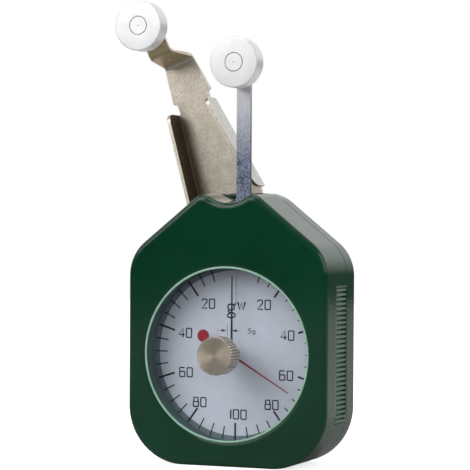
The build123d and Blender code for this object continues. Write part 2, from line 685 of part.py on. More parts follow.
# ================================================================== measuring arm
with BuildPart() as arm_shaft:
    add_disc(ARM_SHAFT_RADIUS, FRONT_PLATE_Y + SEAT_GAP, REAR_PLATE_BACK_Y + FREE_GAP, PIVOT_CENTRE)
    add_disc(ARM_COLLAR_RADIUS, FRONT_PLATE_BACK_Y + SEAT_GAP, SECTOR_Y, PIVOT_CENTRE)
    add_disc(ARM_COLLAR_RADIUS, ARM_BACK_Y, REAR_PLATE_Y - SEAT_GAP, PIVOT_CENTRE)
arm_shaft.part.label = "arm_shaft"
export_step(arm_shaft.part, "parts/arm_shaft.step")

with BuildPart() as sector_gear:
    band_inner = SECTOR_BAND_REACH - SECTOR_BAND / 2
    band_outer = SECTOR_BAND_REACH + SECTOR_BAND / 2
    teeth = tooth_points(SECTOR_TEETH, SECTOR_CUT_TEETH, -90)
    first_angle = -90 - SECTOR_HALF_ANGLE
    first = radians(first_angle)
    last = radians(-90 + SECTOR_HALF_ANGLE)
    with BuildSketch(facing(ARM_Y, PIVOT_CENTRE)):
        with BuildLine():
            Polyline(
                (band_inner * cos(first), band_inner * sin(first)),
                (band_outer * cos(first), band_outer * sin(first)),
                *teeth,
                (band_outer * cos(last), band_outer * sin(last)),
                (band_inner * cos(last), band_inner * sin(last)),
            )
            CenterArc((0, 0), band_inner, first_angle, 2 * SECTOR_HALF_ANGLE)
        make_face()
        Circle(ARM_HUB_RADIUS)
        with Locations((0, -SECTOR_BAND_REACH / 2)):
            Rectangle(2 * SECTOR_ARM_HALF, SECTOR_BAND_REACH)
        Circle(ARM_SHAFT_RADIUS + PRESS_GAP, mode=Mode.SUBTRACT)
    extrude(amount=GEAR_THICKNESS)
sector_gear.part.label = "sector_gear"
export_step(sector_gear.part, "parts/sector_gear.step")

with BuildPart() as measuring_arm:
    with BuildSketch(facing(ARM_BACK_Y, PIVOT_CENTRE)):
        Circle(ARM_HUB_RADIUS)
        with Locations((0, ARM_REACH / 2)):
            Rectangle(ARM_WIDTH, ARM_REACH)
        with Locations((0, ARM_REACH)):
            Circle(ARM_WIDTH / 2)
            Circle(PIN_RADIUS + PRESS_GAP, mode=Mode.SUBTRACT)
        Circle(ARM_SHAFT_RADIUS + PRESS_GAP, mode=Mode.SUBTRACT)
    extrude(amount=ARM_THICKNESS)
measuring_arm.part.label = "measuring_arm"
export_step(measuring_arm.part, "parts/measuring_arm.step")

with BuildPart() as arm_roller:
    add_roller(ARM_ROLLER_CENTRE)
arm_roller.part.label = "arm_roller"
export_step(arm_roller.part, "parts/arm_roller.step")

with BuildPart() as arm_roller_pin:
    add_roller_pin(ARM_ROLLER_CENTRE, ARM_Y, ARM_BACK_Y)
arm_roller_pin.part.label = "arm_roller_pin"
export_step(arm_roller_pin.part, "parts/arm_roller_pin.step")

# ================================================================== pointer
with BuildPart() as pinion_arbor:
    add_disc(ARBOR_RADIUS, POINTER_Y - SEAT_GAP, REAR_PLATE_BACK_Y + FREE_GAP, DIAL_CENTRE)
    add_disc(ARBOR_COLLAR_RADIUS, FRONT_PLATE_BACK_Y + SEAT_GAP, REAR_PLATE_Y - SEAT_GAP, DIAL_CENTRE)
    with BuildSketch(facing(ARM_Y + FREE_GAP, DIAL_CENTRE)):
        with BuildLine():
            Polyline(*tooth_points(PINION_TEETH, PINION_TEETH, 90), close=True)
        make_face()
    extrude(amount=GEAR_THICKNESS + 2 * FREE_GAP)
pinion_arbor.part.label = "pinion_arbor"
export_step(pinion_arbor.part, "parts/pinion_arbor.step")

with BuildPart() as gauge_pointer:
    add_needle(
        POINTER_Y, 0, POINTER_REACH, POINTER_BASE_HALF, POINTER_TIP_HALF, POINTER_HUB_RADIUS, POINTER_TAIL
    )
    add_disc(ARBOR_RADIUS + PRESS_GAP, POINTER_Y, POINTER_Y + POINTER_THICKNESS, DIAL_CENTRE, Mode.SUBTRACT)
gauge_pointer.part.label = "gauge_pointer"
export_step(gauge_pointer.part, "parts/gauge_pointer.step")

# ================================================================== peak pointer and reset knob
with BuildPart() as peak_pointer:
    add_needle(
        PEAK_Y, PEAK_ANGLE, PEAK_REACH, PEAK_BASE_HALF, PEAK_TIP_HALF, PEAK_HUB_RADIUS, PEAK_DISC_REACH
    )
    with BuildSketch(facing(PEAK_Y + POINTER_THICKNESS, DIAL_CENTRE, PEAK_ANGLE)):
        with Locations((0, -PEAK_DISC_REACH)):
            Circle(PEAK_DISC_RADIUS)
    extrude(amount=POINTER_THICKNESS)
    add_disc(SPINDLE_RADIUS + PRESS_GAP, PEAK_Y, PEAK_Y + POINTER_THICKNESS, DIAL_CENTRE, Mode.SUBTRACT)
peak_pointer.part.label = "peak_pointer"
export_step(peak_pointer.part, "parts/peak_pointer.step")

with BuildPart() as reset_spindle:
    add_disc(SPINDLE_RADIUS, KNOB_BACK_Y - SPINDLE_SEAT, PEAK_Y + POINTER_THICKNESS + SEAT_GAP, DIAL_CENTRE)
reset_spindle.part.label = "reset_spindle"
export_step(reset_spindle.part, "parts/reset_spindle.step")

with BuildPart() as reset_knob:
    with BuildSketch(facing(KNOB_BACK_Y, DIAL_CENTRE)):
        Circle(KNOB_RADIUS)
        with PolarLocations(KNOB_RADIUS, KNOB_GROOVES):
            Circle(KNOB_GROOVE_RADIUS, mode=Mode.SUBTRACT)
    extrude(amount=KNOB_LENGTH)
    # both ends are turned to a chamfer after the knurl is cut
    with BuildSketch(Plane.YZ):
        with Locations((KNOB_BACK_Y - KNOB_LENGTH / 2, DIAL_HEIGHT)):
            with Locations((0, KNOB_RADIUS / 2)):
                Rectangle(KNOB_LENGTH, KNOB_RADIUS)
        chamfer(vertices().group_by(Axis.Y)[-1], KNOB_CHAMFER)
    revolve(axis=Axis((0, 0, DIAL_HEIGHT), (0, 1, 0)), mode=Mode.INTERSECT)
    add_disc(SPINDLE_RADIUS + PRESS_GAP, KNOB_BACK_Y - SPINDLE_SEAT, KNOB_BACK_Y, DIAL_CENTRE, Mode.SUBTRACT)
reset_knob.part.label = "reset_knob"
export_step(reset_knob.part, "parts/reset_knob.step")

# ================================================================== guard
with BuildPart() as guard_bracket:
    # side view of the bent strip: web up the back, shelf to the front, tab up to the roller
    lean = radians(GUARD_TILT)
    across = (cos(lean), 0, sin(lean))
    side_view = Plane(origin=(0, 0, PIVOT_Z), x_dir=(0, 1, 0), z_dir=across)
    web_middle = GUARD_Y + SHEET / 2
    tab_middle = TAB_Y + SHEET / 2
    shelf_front_reach = SHELF_REACH + (web_middle - tab_middle) * tan(radians(SHELF_RISE))
    with BuildSketch(side_view):
        with BuildLine():
            FilletPolyline(
                (web_middle, -EYE_RADIUS),
                (web_middle, SHELF_REACH),
                (tab_middle, shelf_front_reach),
                (tab_middle, GUARD_REACH + TAB_END_HALF),
                radius=SHEET / 2 + SHELF_BEND,
            )
        trace(line_width=SHEET)
    extrude(amount=GUARD_HALF, both=True)
    # front view that the strip is blanked to
    with BuildSketch(guard_plane(GUARD_BACK_Y)) as blank:
        Circle(EYE_RADIUS)
        with Locations((0, FLANGE_LOW - SHEET / 2)):
            Rectangle(2 * FOOT_HALF, SHEET)
        make_hull()
        with BuildLine():
            Polyline(
                (-guard_half(FLANGE_LOW), FLANGE_LOW),
                (guard_half(FLANGE_LOW), FLANGE_LOW),
                (guard_half(FLANGE_HIGH), FLANGE_HIGH),
                (-guard_half(FLANGE_HIGH), FLANGE_HIGH),
                close=True,
            )
        make_face()
        with BuildLine():
            Polyline(
                (-guard_half(NECK_HIGH), NECK_HIGH),
                (guard_half(NECK_HIGH), NECK_HIGH),
                (guard_half(SHELF_REACH), SHELF_REACH),
                (guard_half(SHELF_REACH), SHELF_REACH + SHEET),
                (-guard_half(SHELF_REACH), SHELF_REACH + SHEET),
                (-guard_half(SHELF_REACH), SHELF_REACH),
                close=True,
            )
        make_face()
        with Locations((0, (FLANGE_HIGH + NECK_HIGH) / 2)):
            Rectangle(2 * NECK_HALF, NECK_HIGH - FLANGE_HIGH)
        neck_corners = blank.vertices().filter_by(
            lambda corner: FLANGE_HIGH - SEAT_GAP < corner.Y < NECK_HIGH + SEAT_GAP
            and abs(corner.X) < guard_half(NECK_HIGH) + SEAT_GAP
        )
        fillet(neck_corners, NECK_CORNER)
        with BuildLine():
            Polyline(
                (-SHELF_TIP_HALF, SHELF_REACH),
                (SHELF_TIP_HALF, SHELF_REACH),
                (TAB_END_HALF, GUARD_REACH),
                (-TAB_END_HALF, GUARD_REACH),
                close=True,
            )
        make_face()
        with Locations((0, GUARD_REACH)):
            Circle(TAB_END_HALF)
            Circle(PIN_RADIUS + PRESS_GAP, mode=Mode.SUBTRACT)
        Circle(PIVOT_RADIUS + RUNNING_GAP, mode=Mode.SUBTRACT)
    extrude(amount=GUARD_BACK_Y - TAB_Y, mode=Mode.INTERSECT)
    # top view: the shelf narrows towards the tab and has a pilot hole
    top_view = Plane(origin=(0, 0, PIVOT_Z), x_dir=across, z_dir=(-sin(lean), 0, cos(lean)))
    with BuildSketch(top_view):
        with Locations((0, web_middle)):
            Rectangle(2 * GUARD_HALF, SHEET)
        with BuildLine():
            Polyline(
                (-guard_half(SHELF_REACH), web_middle),
                (guard_half(SHELF_REACH), web_middle),
                (SHELF_TIP_HALF, TAB_Y),
                (-SHELF_TIP_HALF, TAB_Y),
                close=True,
            )
        make_face()
        with Locations((0, (web_middle + tab_middle) / 2)):
            Circle(SHELF_HOLE_RADIUS, mode=Mode.SUBTRACT)
    extrude(amount=2 * GUARD_REACH, both=True, mode=Mode.INTERSECT)
    # side flanges along the web
    with BuildSketch(guard_plane(GUARD_BACK_Y)):
        for side in (-1, 1):
            with BuildLine():
                Polyline(
                    (side * guard_half(FLANGE_LOW), FLANGE_LOW),
                    (side * guard_half(FLANGE_HIGH), FLANGE_HIGH),
                    (side * (guard_half(FLANGE_HIGH) - SHEET), FLANGE_HIGH),
                    (side * (guard_half(FLANGE_LOW) - SHEET), FLANGE_LOW),
                    close=True,
                )
            make_face()
    extrude(amount=FLANGE_WIDTH)
    flange_length = hypot(FLANGE_HIGH - FLANGE_LOW, guard_half(FLANGE_LOW) - guard_half(FLANGE_HIGH))
    for bend_y, bend_radius in ((GUARD_BACK_Y, SHEET + SHEET_BEND), (GUARD_Y, SHEET_BEND)):
        bends = guard_bracket.edges().filter_by(
            lambda edge: abs(edge.length - flange_length) < SEAT_GAP
            and abs(edge.center().Y - bend_y) < SEAT_GAP
        )
        fillet(bends, bend_radius)
    corners = guard_bracket.edges().filter_by(
        lambda edge: abs(edge.length - SHEET) < SEAT_GAP and abs(edge.center().Y - FLANGE_Y) < SEAT_GAP
    )
    fillet(corners, FLANGE_CORNER)
guard_bracket.part.label = "guard_bracket"
export_step(guard_bracket.part, "parts/guard_bracket.step")

with BuildPart() as guard_roller:
    add_roller(GUARD_ROLLER_CENTRE)
guard_roller.part.label = "guard_roller"
export_step(guard_roller.part, "parts/guard_roller.step")

with BuildPart() as guard_roller_pin:
    add_roller_pin(GUARD_ROLLER_CENTRE, TAB_Y, TAB_BACK_Y)
guard_roller_pin.part.label = "guard_roller_pin"
export_step(guard_roller_pin.part, "parts/guard_roller_pin.step")

# ================================================================== guard pivot
with BuildPart() as pivot_screw:
    add_disc(PIVOT_THREAD_RADIUS, BACK_Y - PIVOT_THREAD, BACK_Y, PIVOT_CENTRE)
    add_disc(PIVOT_RADIUS, BACK_Y, PIVOT_HEAD_Y, PIVOT_CENTRE)
    add_disc(PIVOT_HEAD_RADIUS, PIVOT_HEAD_Y, PIVOT_HEAD_Y + PIVOT_HEAD, PIVOT_CENTRE)
    with BuildSketch(facing(PIVOT_HEAD_Y + PIVOT_HEAD, PIVOT_CENTRE)):
        Rectangle(2 * PIVOT_HEAD_RADIUS, 2 * DRIVE_SLOT_WIDTH)
    extrude(amount=2 * DRIVE_SLOT_DEPTH, mode=Mode.SUBTRACT)
pivot_screw.part.label = "pivot_screw"
export_step(pivot_screw.part, "parts/pivot_screw.step")

with BuildPart() as pivot_washer:
    add_disc(FRICTION_WASHER_RADIUS, BACK_Y, GUARD_Y - SEAT_GAP, PIVOT_CENTRE)
    add_disc(PIVOT_RADIUS + RUNNING_GAP, BACK_Y, GUARD_Y - SEAT_GAP, PIVOT_CENTRE, Mode.SUBTRACT)
pivot_washer.part.label = "pivot_washer"
export_step(pivot_washer.part, "parts/pivot_washer.step")

with BuildPart() as wave_washer:
    washer_back_y = SPRING_WASHER_Y + SPRING_WASHER
    add_disc(SPRING_WASHER_RADIUS, SPRING_WASHER_Y, washer_back_y, PIVOT_CENTRE)
    add_disc(PIVOT_RADIUS + RUNNING_GAP, SPRING_WASHER_Y, washer_back_y, PIVOT_CENTRE, Mode.SUBTRACT)
wave_washer.part.label = "wave_washer"
export_step(wave_washer.part, "parts/wave_washer.step")
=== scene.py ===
# %% [markdown]
# # Dressing a dial tension gauge
# The gauge is a flat green case with a round dial, a thin measuring arm that carries a roller,
# and a sheet-metal guard that leans beside it and carries a second roller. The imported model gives
# every piece its real size and place, so this lesson only adds finer meshes and finishes to it.

from math import atan2, cos, pi, radians, sin

import bmesh
import bpy
from mathutils import Matrix, Vector


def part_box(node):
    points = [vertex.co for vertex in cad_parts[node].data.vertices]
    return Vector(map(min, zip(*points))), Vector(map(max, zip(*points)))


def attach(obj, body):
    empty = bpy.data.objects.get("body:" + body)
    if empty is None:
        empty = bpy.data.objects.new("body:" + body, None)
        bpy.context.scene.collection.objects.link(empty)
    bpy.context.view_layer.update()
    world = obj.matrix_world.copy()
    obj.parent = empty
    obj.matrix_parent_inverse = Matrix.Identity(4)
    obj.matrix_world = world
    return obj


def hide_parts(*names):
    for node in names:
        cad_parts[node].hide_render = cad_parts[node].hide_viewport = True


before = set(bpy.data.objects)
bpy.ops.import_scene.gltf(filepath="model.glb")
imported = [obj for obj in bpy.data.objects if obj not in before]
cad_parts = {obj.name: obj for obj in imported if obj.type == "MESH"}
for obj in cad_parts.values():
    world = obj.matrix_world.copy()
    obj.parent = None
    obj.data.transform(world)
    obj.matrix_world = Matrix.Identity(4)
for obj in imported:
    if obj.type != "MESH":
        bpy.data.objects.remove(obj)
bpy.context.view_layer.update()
MM = 0.001

# %% [markdown]
# ## Measuring before modelling
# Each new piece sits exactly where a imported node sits. Reading a node's box gives its centre and
# its front and back faces, which keeps numbers out of the script: a change of the frame moves
# the dressing with it.

# %% Places read from the frame
def box_of(node):
    """Lowest and highest corner of a node, as vectors."""
    low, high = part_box(node)
    return Vector(low), Vector(high)


def centre_of(node):
    """Middle of a node's box."""
    low, high = box_of(node)
    return (low + high) / 2


DIAL = centre_of("dial_plate")
DIAL_FACE = box_of("dial_plate")[0].y
PIVOT = centre_of("arm_shaft")
print("dial centre", DIAL, "face", DIAL_FACE, "pivot", PIVOT)

# %% [markdown]
# ## Colours as they are seen
# A colour is easiest to name as it looks on a screen, from 0 to 255. Blender's shaders expect
# linear light instead, so one small function does the conversion for every finish.

# %% Colour helper
def seen(red, green, blue):
    """A screen colour from 0 to 255 as the linear colour that a shader takes."""
    channels = []
    for value in (red, green, blue):
        share = value / 255
        channels.append(share / 12.92 if share <= 0.04045 else ((share + 0.055) / 1.055) ** 2.4)
    return (*channels, 1.0)


print("mid grey becomes", [round(c, 3) for c in seen(128, 128, 128)])

# %% [markdown]
# ## Shared effects as node groups
# Real surfaces are never one flat value. Three effects return on nearly every piece: an uneven
# grain, the rings that a lathe leaves, and edges that are rubbed bright. Each is built once as a
# node group with named inputs, and every material then places it with its own values.

# %% Node helpers
def add_node(tree, kind, inputs=None, **settings):
    """A shader node with its settings. Each input is a plain value or a socket to link."""
    node = tree.nodes.new("ShaderNode" + kind)
    for title, value in settings.items():
        setattr(node, title, value)
    for title, value in (inputs or {}).items():
        if isinstance(value, bpy.types.NodeSocket):
            tree.links.new(value, node.inputs[title])
        else:
            node.inputs[title].default_value = value
    return node


def math_node(tree, operation, first, second):
    """The result of a math node, whose inputs are sockets or plain numbers."""
    return add_node(tree, "Math", {0: first, 1: second}, operation=operation).outputs[0]


def new_group(name, inputs, output):
    """A node group with number or vector inputs and one number out, and its inputs' sockets."""
    group = bpy.data.node_groups.new(name, "ShaderNodeTree")
    for title, value in inputs.items():
        kind = "NodeSocketFloat" if isinstance(value, float) else "NodeSocketVector"
        socket = group.interface.new_socket(title, in_out="INPUT", socket_type=kind)
        socket.default_value = value
    group.interface.new_socket(output, in_out="OUTPUT", socket_type="NodeSocketFloat")
    return group, group.nodes.new("NodeGroupInput").outputs


def end_group(group, value):
    """Let a group put out its last value."""
    group.links.new(value, group.nodes.new("NodeGroupOutput").inputs[0])
    print("built", group.name, "with", len(group.nodes), "nodes")


print("node helpers ready")

# %% [markdown]
# ### Grain
# Cast paint, plated sheet and ground steel all vary slowly from place to place. Noise read from
# object coordinates does this, and stretching the coordinates along one axis turns the same noise
# into the fine parallel lines of a brushed surface. Most of a noise's values lie between 0.3 and
# 0.7, so that reach is stretched to the whole way from low to high.

# %% Grain group
NOISE_LOW, NOISE_HIGH = 0.3, 0.7

grain_group, given = new_group(
    "Surface grain", {"Scale": (500.0, 500.0, 500.0), "Detail": 3.0, "Low": 0.0, "High": 1.0}, "Value"
)
place = add_node(grain_group, "TexCoord").outputs["Object"]
stretched = add_node(grain_group, "VectorMath", {0: place, 1: given["Scale"]}, operation="MULTIPLY")
noise = {"Vector": stretched.outputs[0], "Scale": 1.0, "Detail": given["Detail"]}
noise = add_node(grain_group, "TexNoise", noise).outputs["Fac"]
spread = {"Value": noise, "From Min": NOISE_LOW, "From Max": NOISE_HIGH}
spread.update({"To Min": given["Low"], "To Max": given["High"]})
end_group(grain_group, add_node(grain_group, "MapRange", spread).outputs["Result"])

# %% [markdown]
# ### Turning marks
# A lathe leaves rings round its axis. The distance from the axis is measured across the face,
# and a one-dimensional noise of that distance gives uneven rings, as real ones are.

# %% Turning group
ACROSS_FACE = (1.0, 0.0, 1.0)

turning_group, given = new_group("Turning marks", {"Centre": (0.0, 0.0, 0.0), "Rings": 4000.0}, "Value")
offset = add_node(turning_group, "TexCoord").outputs["Object"]
for operation, second in (("SUBTRACT", given["Centre"]), ("MULTIPLY", ACROSS_FACE)):
    step = add_node(turning_group, "VectorMath", {0: offset, 1: second}, operation=operation)
    offset = step.outputs[0]
distance = add_node(turning_group, "VectorMath", {0: offset}, operation="LENGTH").outputs["Value"]
rings = {"W": distance, "Scale": given["Rings"], "Detail": 2.0}
rings = add_node(turning_group, "TexNoise", rings, noise_dimensions="1D")
end_group(turning_group, rings.outputs["Fac"])

# %% [markdown]
# ### Worn edges
# Hands and pockets rub the edges first. The Bevel node gives the normal that a rounded edge would
# have. Where it differs from the true normal there is an edge. That difference is small, so it
# takes a gain, and noise breaks the line up.
# On the rollers and their pins the same mask carries a painted dark reflection along the chamfers instead of
# wear.

# %% Edge wear group
EDGE_GAIN = 6.0

edge_group, given = new_group("Edge wear", {"Radius": 0.0004, "Amount": 1.0, "Break up": 900.0}, "Mask")
rounded = add_node(edge_group, "Bevel", {"Radius": given["Radius"]}, samples=4).outputs["Normal"]
true_normal = add_node(edge_group, "NewGeometry").outputs["Normal"]
agree = add_node(edge_group, "VectorMath", {0: rounded, 1: true_normal}, operation="DOT_PRODUCT")
place = add_node(edge_group, "TexCoord").outputs["Object"]
noise = {"Vector": place, "Scale": given["Break up"], "Detail": 3.0}
noise = add_node(edge_group, "TexNoise", noise).outputs["Fac"]
edge = math_node(edge_group, "SUBTRACT", 1.0, agree.outputs["Value"])
for factor in (EDGE_GAIN, noise, given["Amount"]):
    edge = math_node(edge_group, "MULTIPLY", edge, factor)
end_group(edge_group, math_node(edge_group, "MINIMUM", edge, 1.0))

# %% [markdown]
# ## A material in a few calls
# Every finish below is a Principled shader with three things on it: a colour that drifts between
# two near tones, a roughness that drifts with the grain, and a little bump. The small functions
# here place a group, mix two colours and feed a bump, so each material reads like a recipe.

# %% Material helpers
def place_group(material, group, **values):
    """What a group puts out in a material, with its inputs set by name."""
    inputs = {title.replace("_", " "): value for title, value in values.items()}
    return add_node(material.node_tree, "Group", inputs, node_tree=group).outputs[0]


def grain(material, scale, detail, low=0.0, high=1.0):
    """Surface grain between low and high, at one scale or at one for each axis."""
    if isinstance(scale, float):
        scale = (scale, scale, scale)
    return place_group(material, grain_group, Scale=scale, Detail=detail, Low=low, High=high)


def mix_colours(material, factor, first, second):
    """Two colours mixed by a socket. Each colour is a plain colour or a socket."""
    node = material.node_tree.nodes.new("ShaderNodeMix")
    node.data_type = "RGBA"
    material.node_tree.links.new(factor, node.inputs["Factor"])
    for title, value in (("A", first), ("B", second)):
        socket = next(s for s in node.inputs if s.name == title and s.type == "RGBA")
        if isinstance(value, tuple):
            socket.default_value = value
        else:
            material.node_tree.links.new(value, socket)
    return next(s for s in node.outputs if s.type == "RGBA")


def wear_and_shade_edges(material, base, tone, radius, amount, break_up):
    """A colour moved towards a tone along the edges: rubbed wear, and on the rollers a painted dark
    reflection.
    """
    mask = place_group(material, edge_group, Radius=radius, Amount=amount, Break_up=break_up)
    return mix_colours(material, mask, base, tone)


def new_finish(name, **plain):
    """A material with its Principled shader, whose plain sockets are set by name."""
    material = bpy.data.materials.new(name)
    material.use_nodes = True
    shader = material.node_tree.nodes["Principled BSDF"]
    for title, value in plain.items():
        shader.inputs[title.replace("_", " ")].default_value = value
    return material, shader


def feed(shader, **outputs):
    """Link outputs to the shader's sockets, by name."""
    for title, output in outputs.items():
        shader.id_data.links.new(output, shader.inputs[title.replace("_", " ")])


def add_bump(shader, height, distance, strength=1.0, rounding=0.0):
    """Bump from a height socket, its full depth in metres, over edges softened by a rounding."""
    tree = shader.id_data
    inputs = {"Height": height, "Distance": distance, "Strength": strength}
    if rounding:
        inputs["Normal"] = add_node(tree, "Bevel", {"Radius": rounding}).outputs["Normal"]
    feed(shader, Normal=add_node(tree, "Bump", inputs).outputs["Normal"])


print("material helpers ready")

# %% [markdown]
# ## Green enamel
# The case is a casting sprayed with a deep green stoving enamel. It is smooth and glossy, but its
# skin has a faint orange peel, and handling has rubbed the sharpest edges a little lighter. The
# ribs of the grip take lighter tones of the same enamel, a painted sheen for the light that their
# round tops catch.

# %% Enamel
def make_enamel(name, tone, deep_tone, worn_tone):
    """Glossy enamel with orange peel and rubbed edges."""
    material, shader = new_finish(name, Specular_IOR_Level=0.5)
    body = mix_colours(material, grain(material, 60.0, 2.0), tone, deep_tone)
    body = wear_and_shade_edges(material, body, worn_tone, 0.5 * MM, 0.35, 700.0)
    feed(shader, Base_Color=body, Roughness=grain(material, 300.0, 4.0, 0.06, 0.12))
    add_bump(shader, grain(material, 900.0, 2.0), 0.01 * MM, 0.5, rounding=0.9 * MM)
    return material


enamel = make_enamel("green_enamel", seen(9, 55, 36), seen(7, 48, 31), seen(60, 110, 88))
# Ribs: a lighter copy of the enamel, a painted sheen.
rib_sheen_enamel = make_enamel("rib_sheen_enamel", seen(46, 92, 70), seen(38, 82, 62), seen(96, 140, 118))
print("enamel nodes", len(enamel.node_tree.nodes))

# %% [markdown]
# ## Metals
# Four kinds of metal show. The guard is plated sheet steel with a warm tint and faint blotches.
# The arm is bluish ground steel. The rollers and their pins are turned and pale, and the knob is
# turned and nickel plated. What tells them apart is tint, roughness and the direction of their
# fine marks. The brass and steel inside the case are fully metallic. The plating, the arm and the
# knob carry a thin dull skin and are a little less than that, and the rollers are only half so.

# %% Sheet and ground metals
EDGE_LIFT = 1.35


def make_sheet_metal(name, tone, second_tone, scale, rough):
    """Plated or ground sheet whose blotches and lines follow a stretch of scales."""
    material, shader = new_finish(name, Metallic=1.0)
    base = mix_colours(material, grain(material, 180.0, 5.0), tone, second_tone)
    bright = tuple(min(1.0, EDGE_LIFT * channel) for channel in tone[:3]) + (1.0,)
    base = wear_and_shade_edges(material, base, bright, 0.25 * MM, 0.5, 1500.0)
    marks = grain(material, scale, 4.0, *rough)
    feed(shader, Base_Color=base, Roughness=marks)
    add_bump(shader, marks, 0.01 * MM)
    return material


plate_brass = make_sheet_metal(
    "brushed_brass", seen(200, 170, 105), seen(180, 150, 90), (300.0, 300.0, 6000.0), (0.3, 0.45)
)
spring_steel = make_sheet_metal(
    "tempered_spring", seen(120, 125, 145), seen(95, 100, 125), 900.0, (0.25, 0.4)
)
print("sheet metals ready")

# %% [markdown]
# ### Shares along a direction
# Some colours change along a piece, such as the arm's painted reflection, dark low down and bright at its
# top.
# The dot product of a point with a direction says how far the point reaches that way, and a range
# turns that into a share from 0 to 1. The guard leans and tapers, so each of its long edges has a
# direction of its own, worked out from its lean and its taper.

# %% Shares and the guard's edges
ACROSS = (1.0, 0.0, 0.0)
FORWARD = (0.0, -1.0, 0.0)
UP = (0.0, 0.0, 1.0)


def dot_share(material, output, direction, low, high):
    """A coordinate's reach along a direction, as a share that is 0 at low and 1 at high."""
    tree = material.node_tree
    place = add_node(tree, "TexCoord").outputs[output]
    reach = add_node(tree, "VectorMath", {0: place, 1: direction}, operation="DOT_PRODUCT")
    inputs = {"Value": reach.outputs["Value"], "From Min": low, "From Max": high}
    return add_node(tree, "MapRange", inputs).outputs["Result"]


def both(material, first, second):
    """Two shares multiplied, or a share and a number."""
    return math_node(material.node_tree, "MULTIPLY", first, second)


def peaks(material, share, power):
    """A share raised to a power, which leaves only its highest places."""
    return math_node(material.node_tree, "POWER", share, power)


GUARD_TILT = radians(23.1)
GUARD_TAPER = 0.1445
GUARD_HALF = 14.3 * MM
LEAN, RISE = cos(GUARD_TILT), sin(GUARD_TILT)
LEFT_EDGE = (LEAN + GUARD_TAPER * RISE, 0.0, RISE - GUARD_TAPER * LEAN)
RIGHT_EDGE = (LEAN - GUARD_TAPER * RISE, 0.0, RISE + GUARD_TAPER * LEAN)
LEFT_REACH = PIVOT.dot(Vector(LEFT_EDGE)) - GUARD_HALF
RIGHT_REACH = PIVOT.dot(Vector(RIGHT_EDGE)) + GUARD_HALF
GUARD_BACK = box_of("guard_bracket")[1].y
print("guard edges at", LEFT_REACH, RIGHT_REACH)

# %% [markdown]
# ### Pitted plating
# The guard's plating is pitted: fine dark pits and bright specks lie close together all over it.
# A coarse grain gives the tone and a fine one the pits. Five patches of painted light are then laid
# over the tone, each by its own mask: painted shade in dull brown inside the left flange, a painted
# pale sheen on the right one, a painted near-white highlight on the bare cut edge, a painted warm
# reflection on the shelf at the top, and painted glints along the right fold. After the pits and
# the rubbed edges, a painted brown shadow of the left flange darkens the sheet beside it lower down.

# %% Plating
FLANGE_SHADE_AND_SHEEN_REACH = (1.9 * MM, 1.2 * MM)
FOLD_GLINT_REACH = (2.6 * MM, 1.6 * MM)
SHADED_REACH = (5.2 * MM, 2.0 * MM)
SHELF_DEPTHS = (2.0 * MM - GUARD_BACK, 3.0 * MM - GUARD_BACK)
LOWER_HEIGHTS = (105 * MM, 98 * MM)
UPPER_HEIGHTS = (110 * MM, 114 * MM)


def from_left(material, far, near):
    """Share that rises towards the guard's left edge, from one distance to a smaller one."""
    return dot_share(material, "Object", LEFT_EDGE, LEFT_REACH + far, LEFT_REACH + near)


def from_right(material, far, near):
    """Share that rises towards the guard's right edge, from one distance to a smaller one."""
    return dot_share(material, "Object", RIGHT_EDGE, RIGHT_REACH - far, RIGHT_REACH - near)


def make_plating_with_painted_light(name, tone, dull_tone, pit_tone):
    """Nickel plating over pressed sheet, with painted shade inside the left flange and a painted sheen on the
    right one.
    """
    material, shader = new_finish(name, Metallic=0.85)
    left = from_left(material, *FLANGE_SHADE_AND_SHEEN_REACH)
    right = from_right(material, *FLANGE_SHADE_AND_SHEEN_REACH)
    sideways = dot_share(material, "Normal", ACROSS, 0.3, 0.7)
    facing = dot_share(material, "Normal", FORWARD, 0.5, 0.8)
    forward = dot_share(material, "Object", FORWARD, *SHELF_DEPTHS)
    cut_edge = both(material, both(material, left, facing), forward)
    high_up = dot_share(material, "Object", UP, *UPPER_HEIGHTS)
    specks = peaks(material, grain(material, 1700.0, 2.0), 5.0)
    base = mix_colours(material, grain(material, 350.0, 6.0), dull_tone, tone)
    # Painted light, one patch a line: shade in the left flange, sheen on the right flange, highlight on the
    # cut edge, warm reflection on the shelf, glints along the right fold.
    for mask, patch_tone in (
        (both(material, left, sideways), seen(112, 92, 68)),
        (both(material, right, sideways), seen(212, 214, 214)),
        (cut_edge, seen(250, 243, 222)),
        (both(material, forward, high_up), seen(206, 184, 142)),
        (both(material, from_right(material, *FOLD_GLINT_REACH), specks), seen(255, 250, 236)),
    ):
        base = mix_colours(material, mask, base, patch_tone)
    pits = grain(material, 2600.0, 4.0)
    base = mix_colours(material, peaks(material, pits, 2.0), base, pit_tone)
    base = wear_and_shade_edges(material, base, seen(250, 246, 236), 0.5 * MM, 1.6, 3000.0)
    # Painted shadow of the left flange on the sheet beside it, lower down.
    lower = dot_share(material, "Object", UP, *LOWER_HEIGHTS)
    shaded = both(material, both(material, from_left(material, *SHADED_REACH), lower), 0.65)
    shaded = both(material, shaded, math_node(material.node_tree, "SUBTRACT", 1.0, cut_edge))
    base = mix_colours(material, shaded, base, seen(104, 88, 66))
    feed(shader, Base_Color=base, Roughness=grain(material, 1800.0, 3.0, 0.28, 0.42))
    add_bump(shader, pits, 0.03 * MM, 0.5)
    return material


guard_metal = make_plating_with_painted_light(
    "pitted_plating_painted_light", seen(228, 221, 208), seen(208, 199, 183), seen(182, 171, 153)
)
print("plating nodes", len(guard_metal.node_tree.nodes))

# %% [markdown]
# ### The arm's steel
# The arm's colour carries a painted reflection: it is bright light grey at its top and a darker
# mottled blue-grey lower down. Two recipes are blended by height: fine upright lines above, and
# below them a mottle with bright specks, which are painted glints.

# %% Arm steel
REFLECTION_HEIGHTS = (86 * MM, 106 * MM)


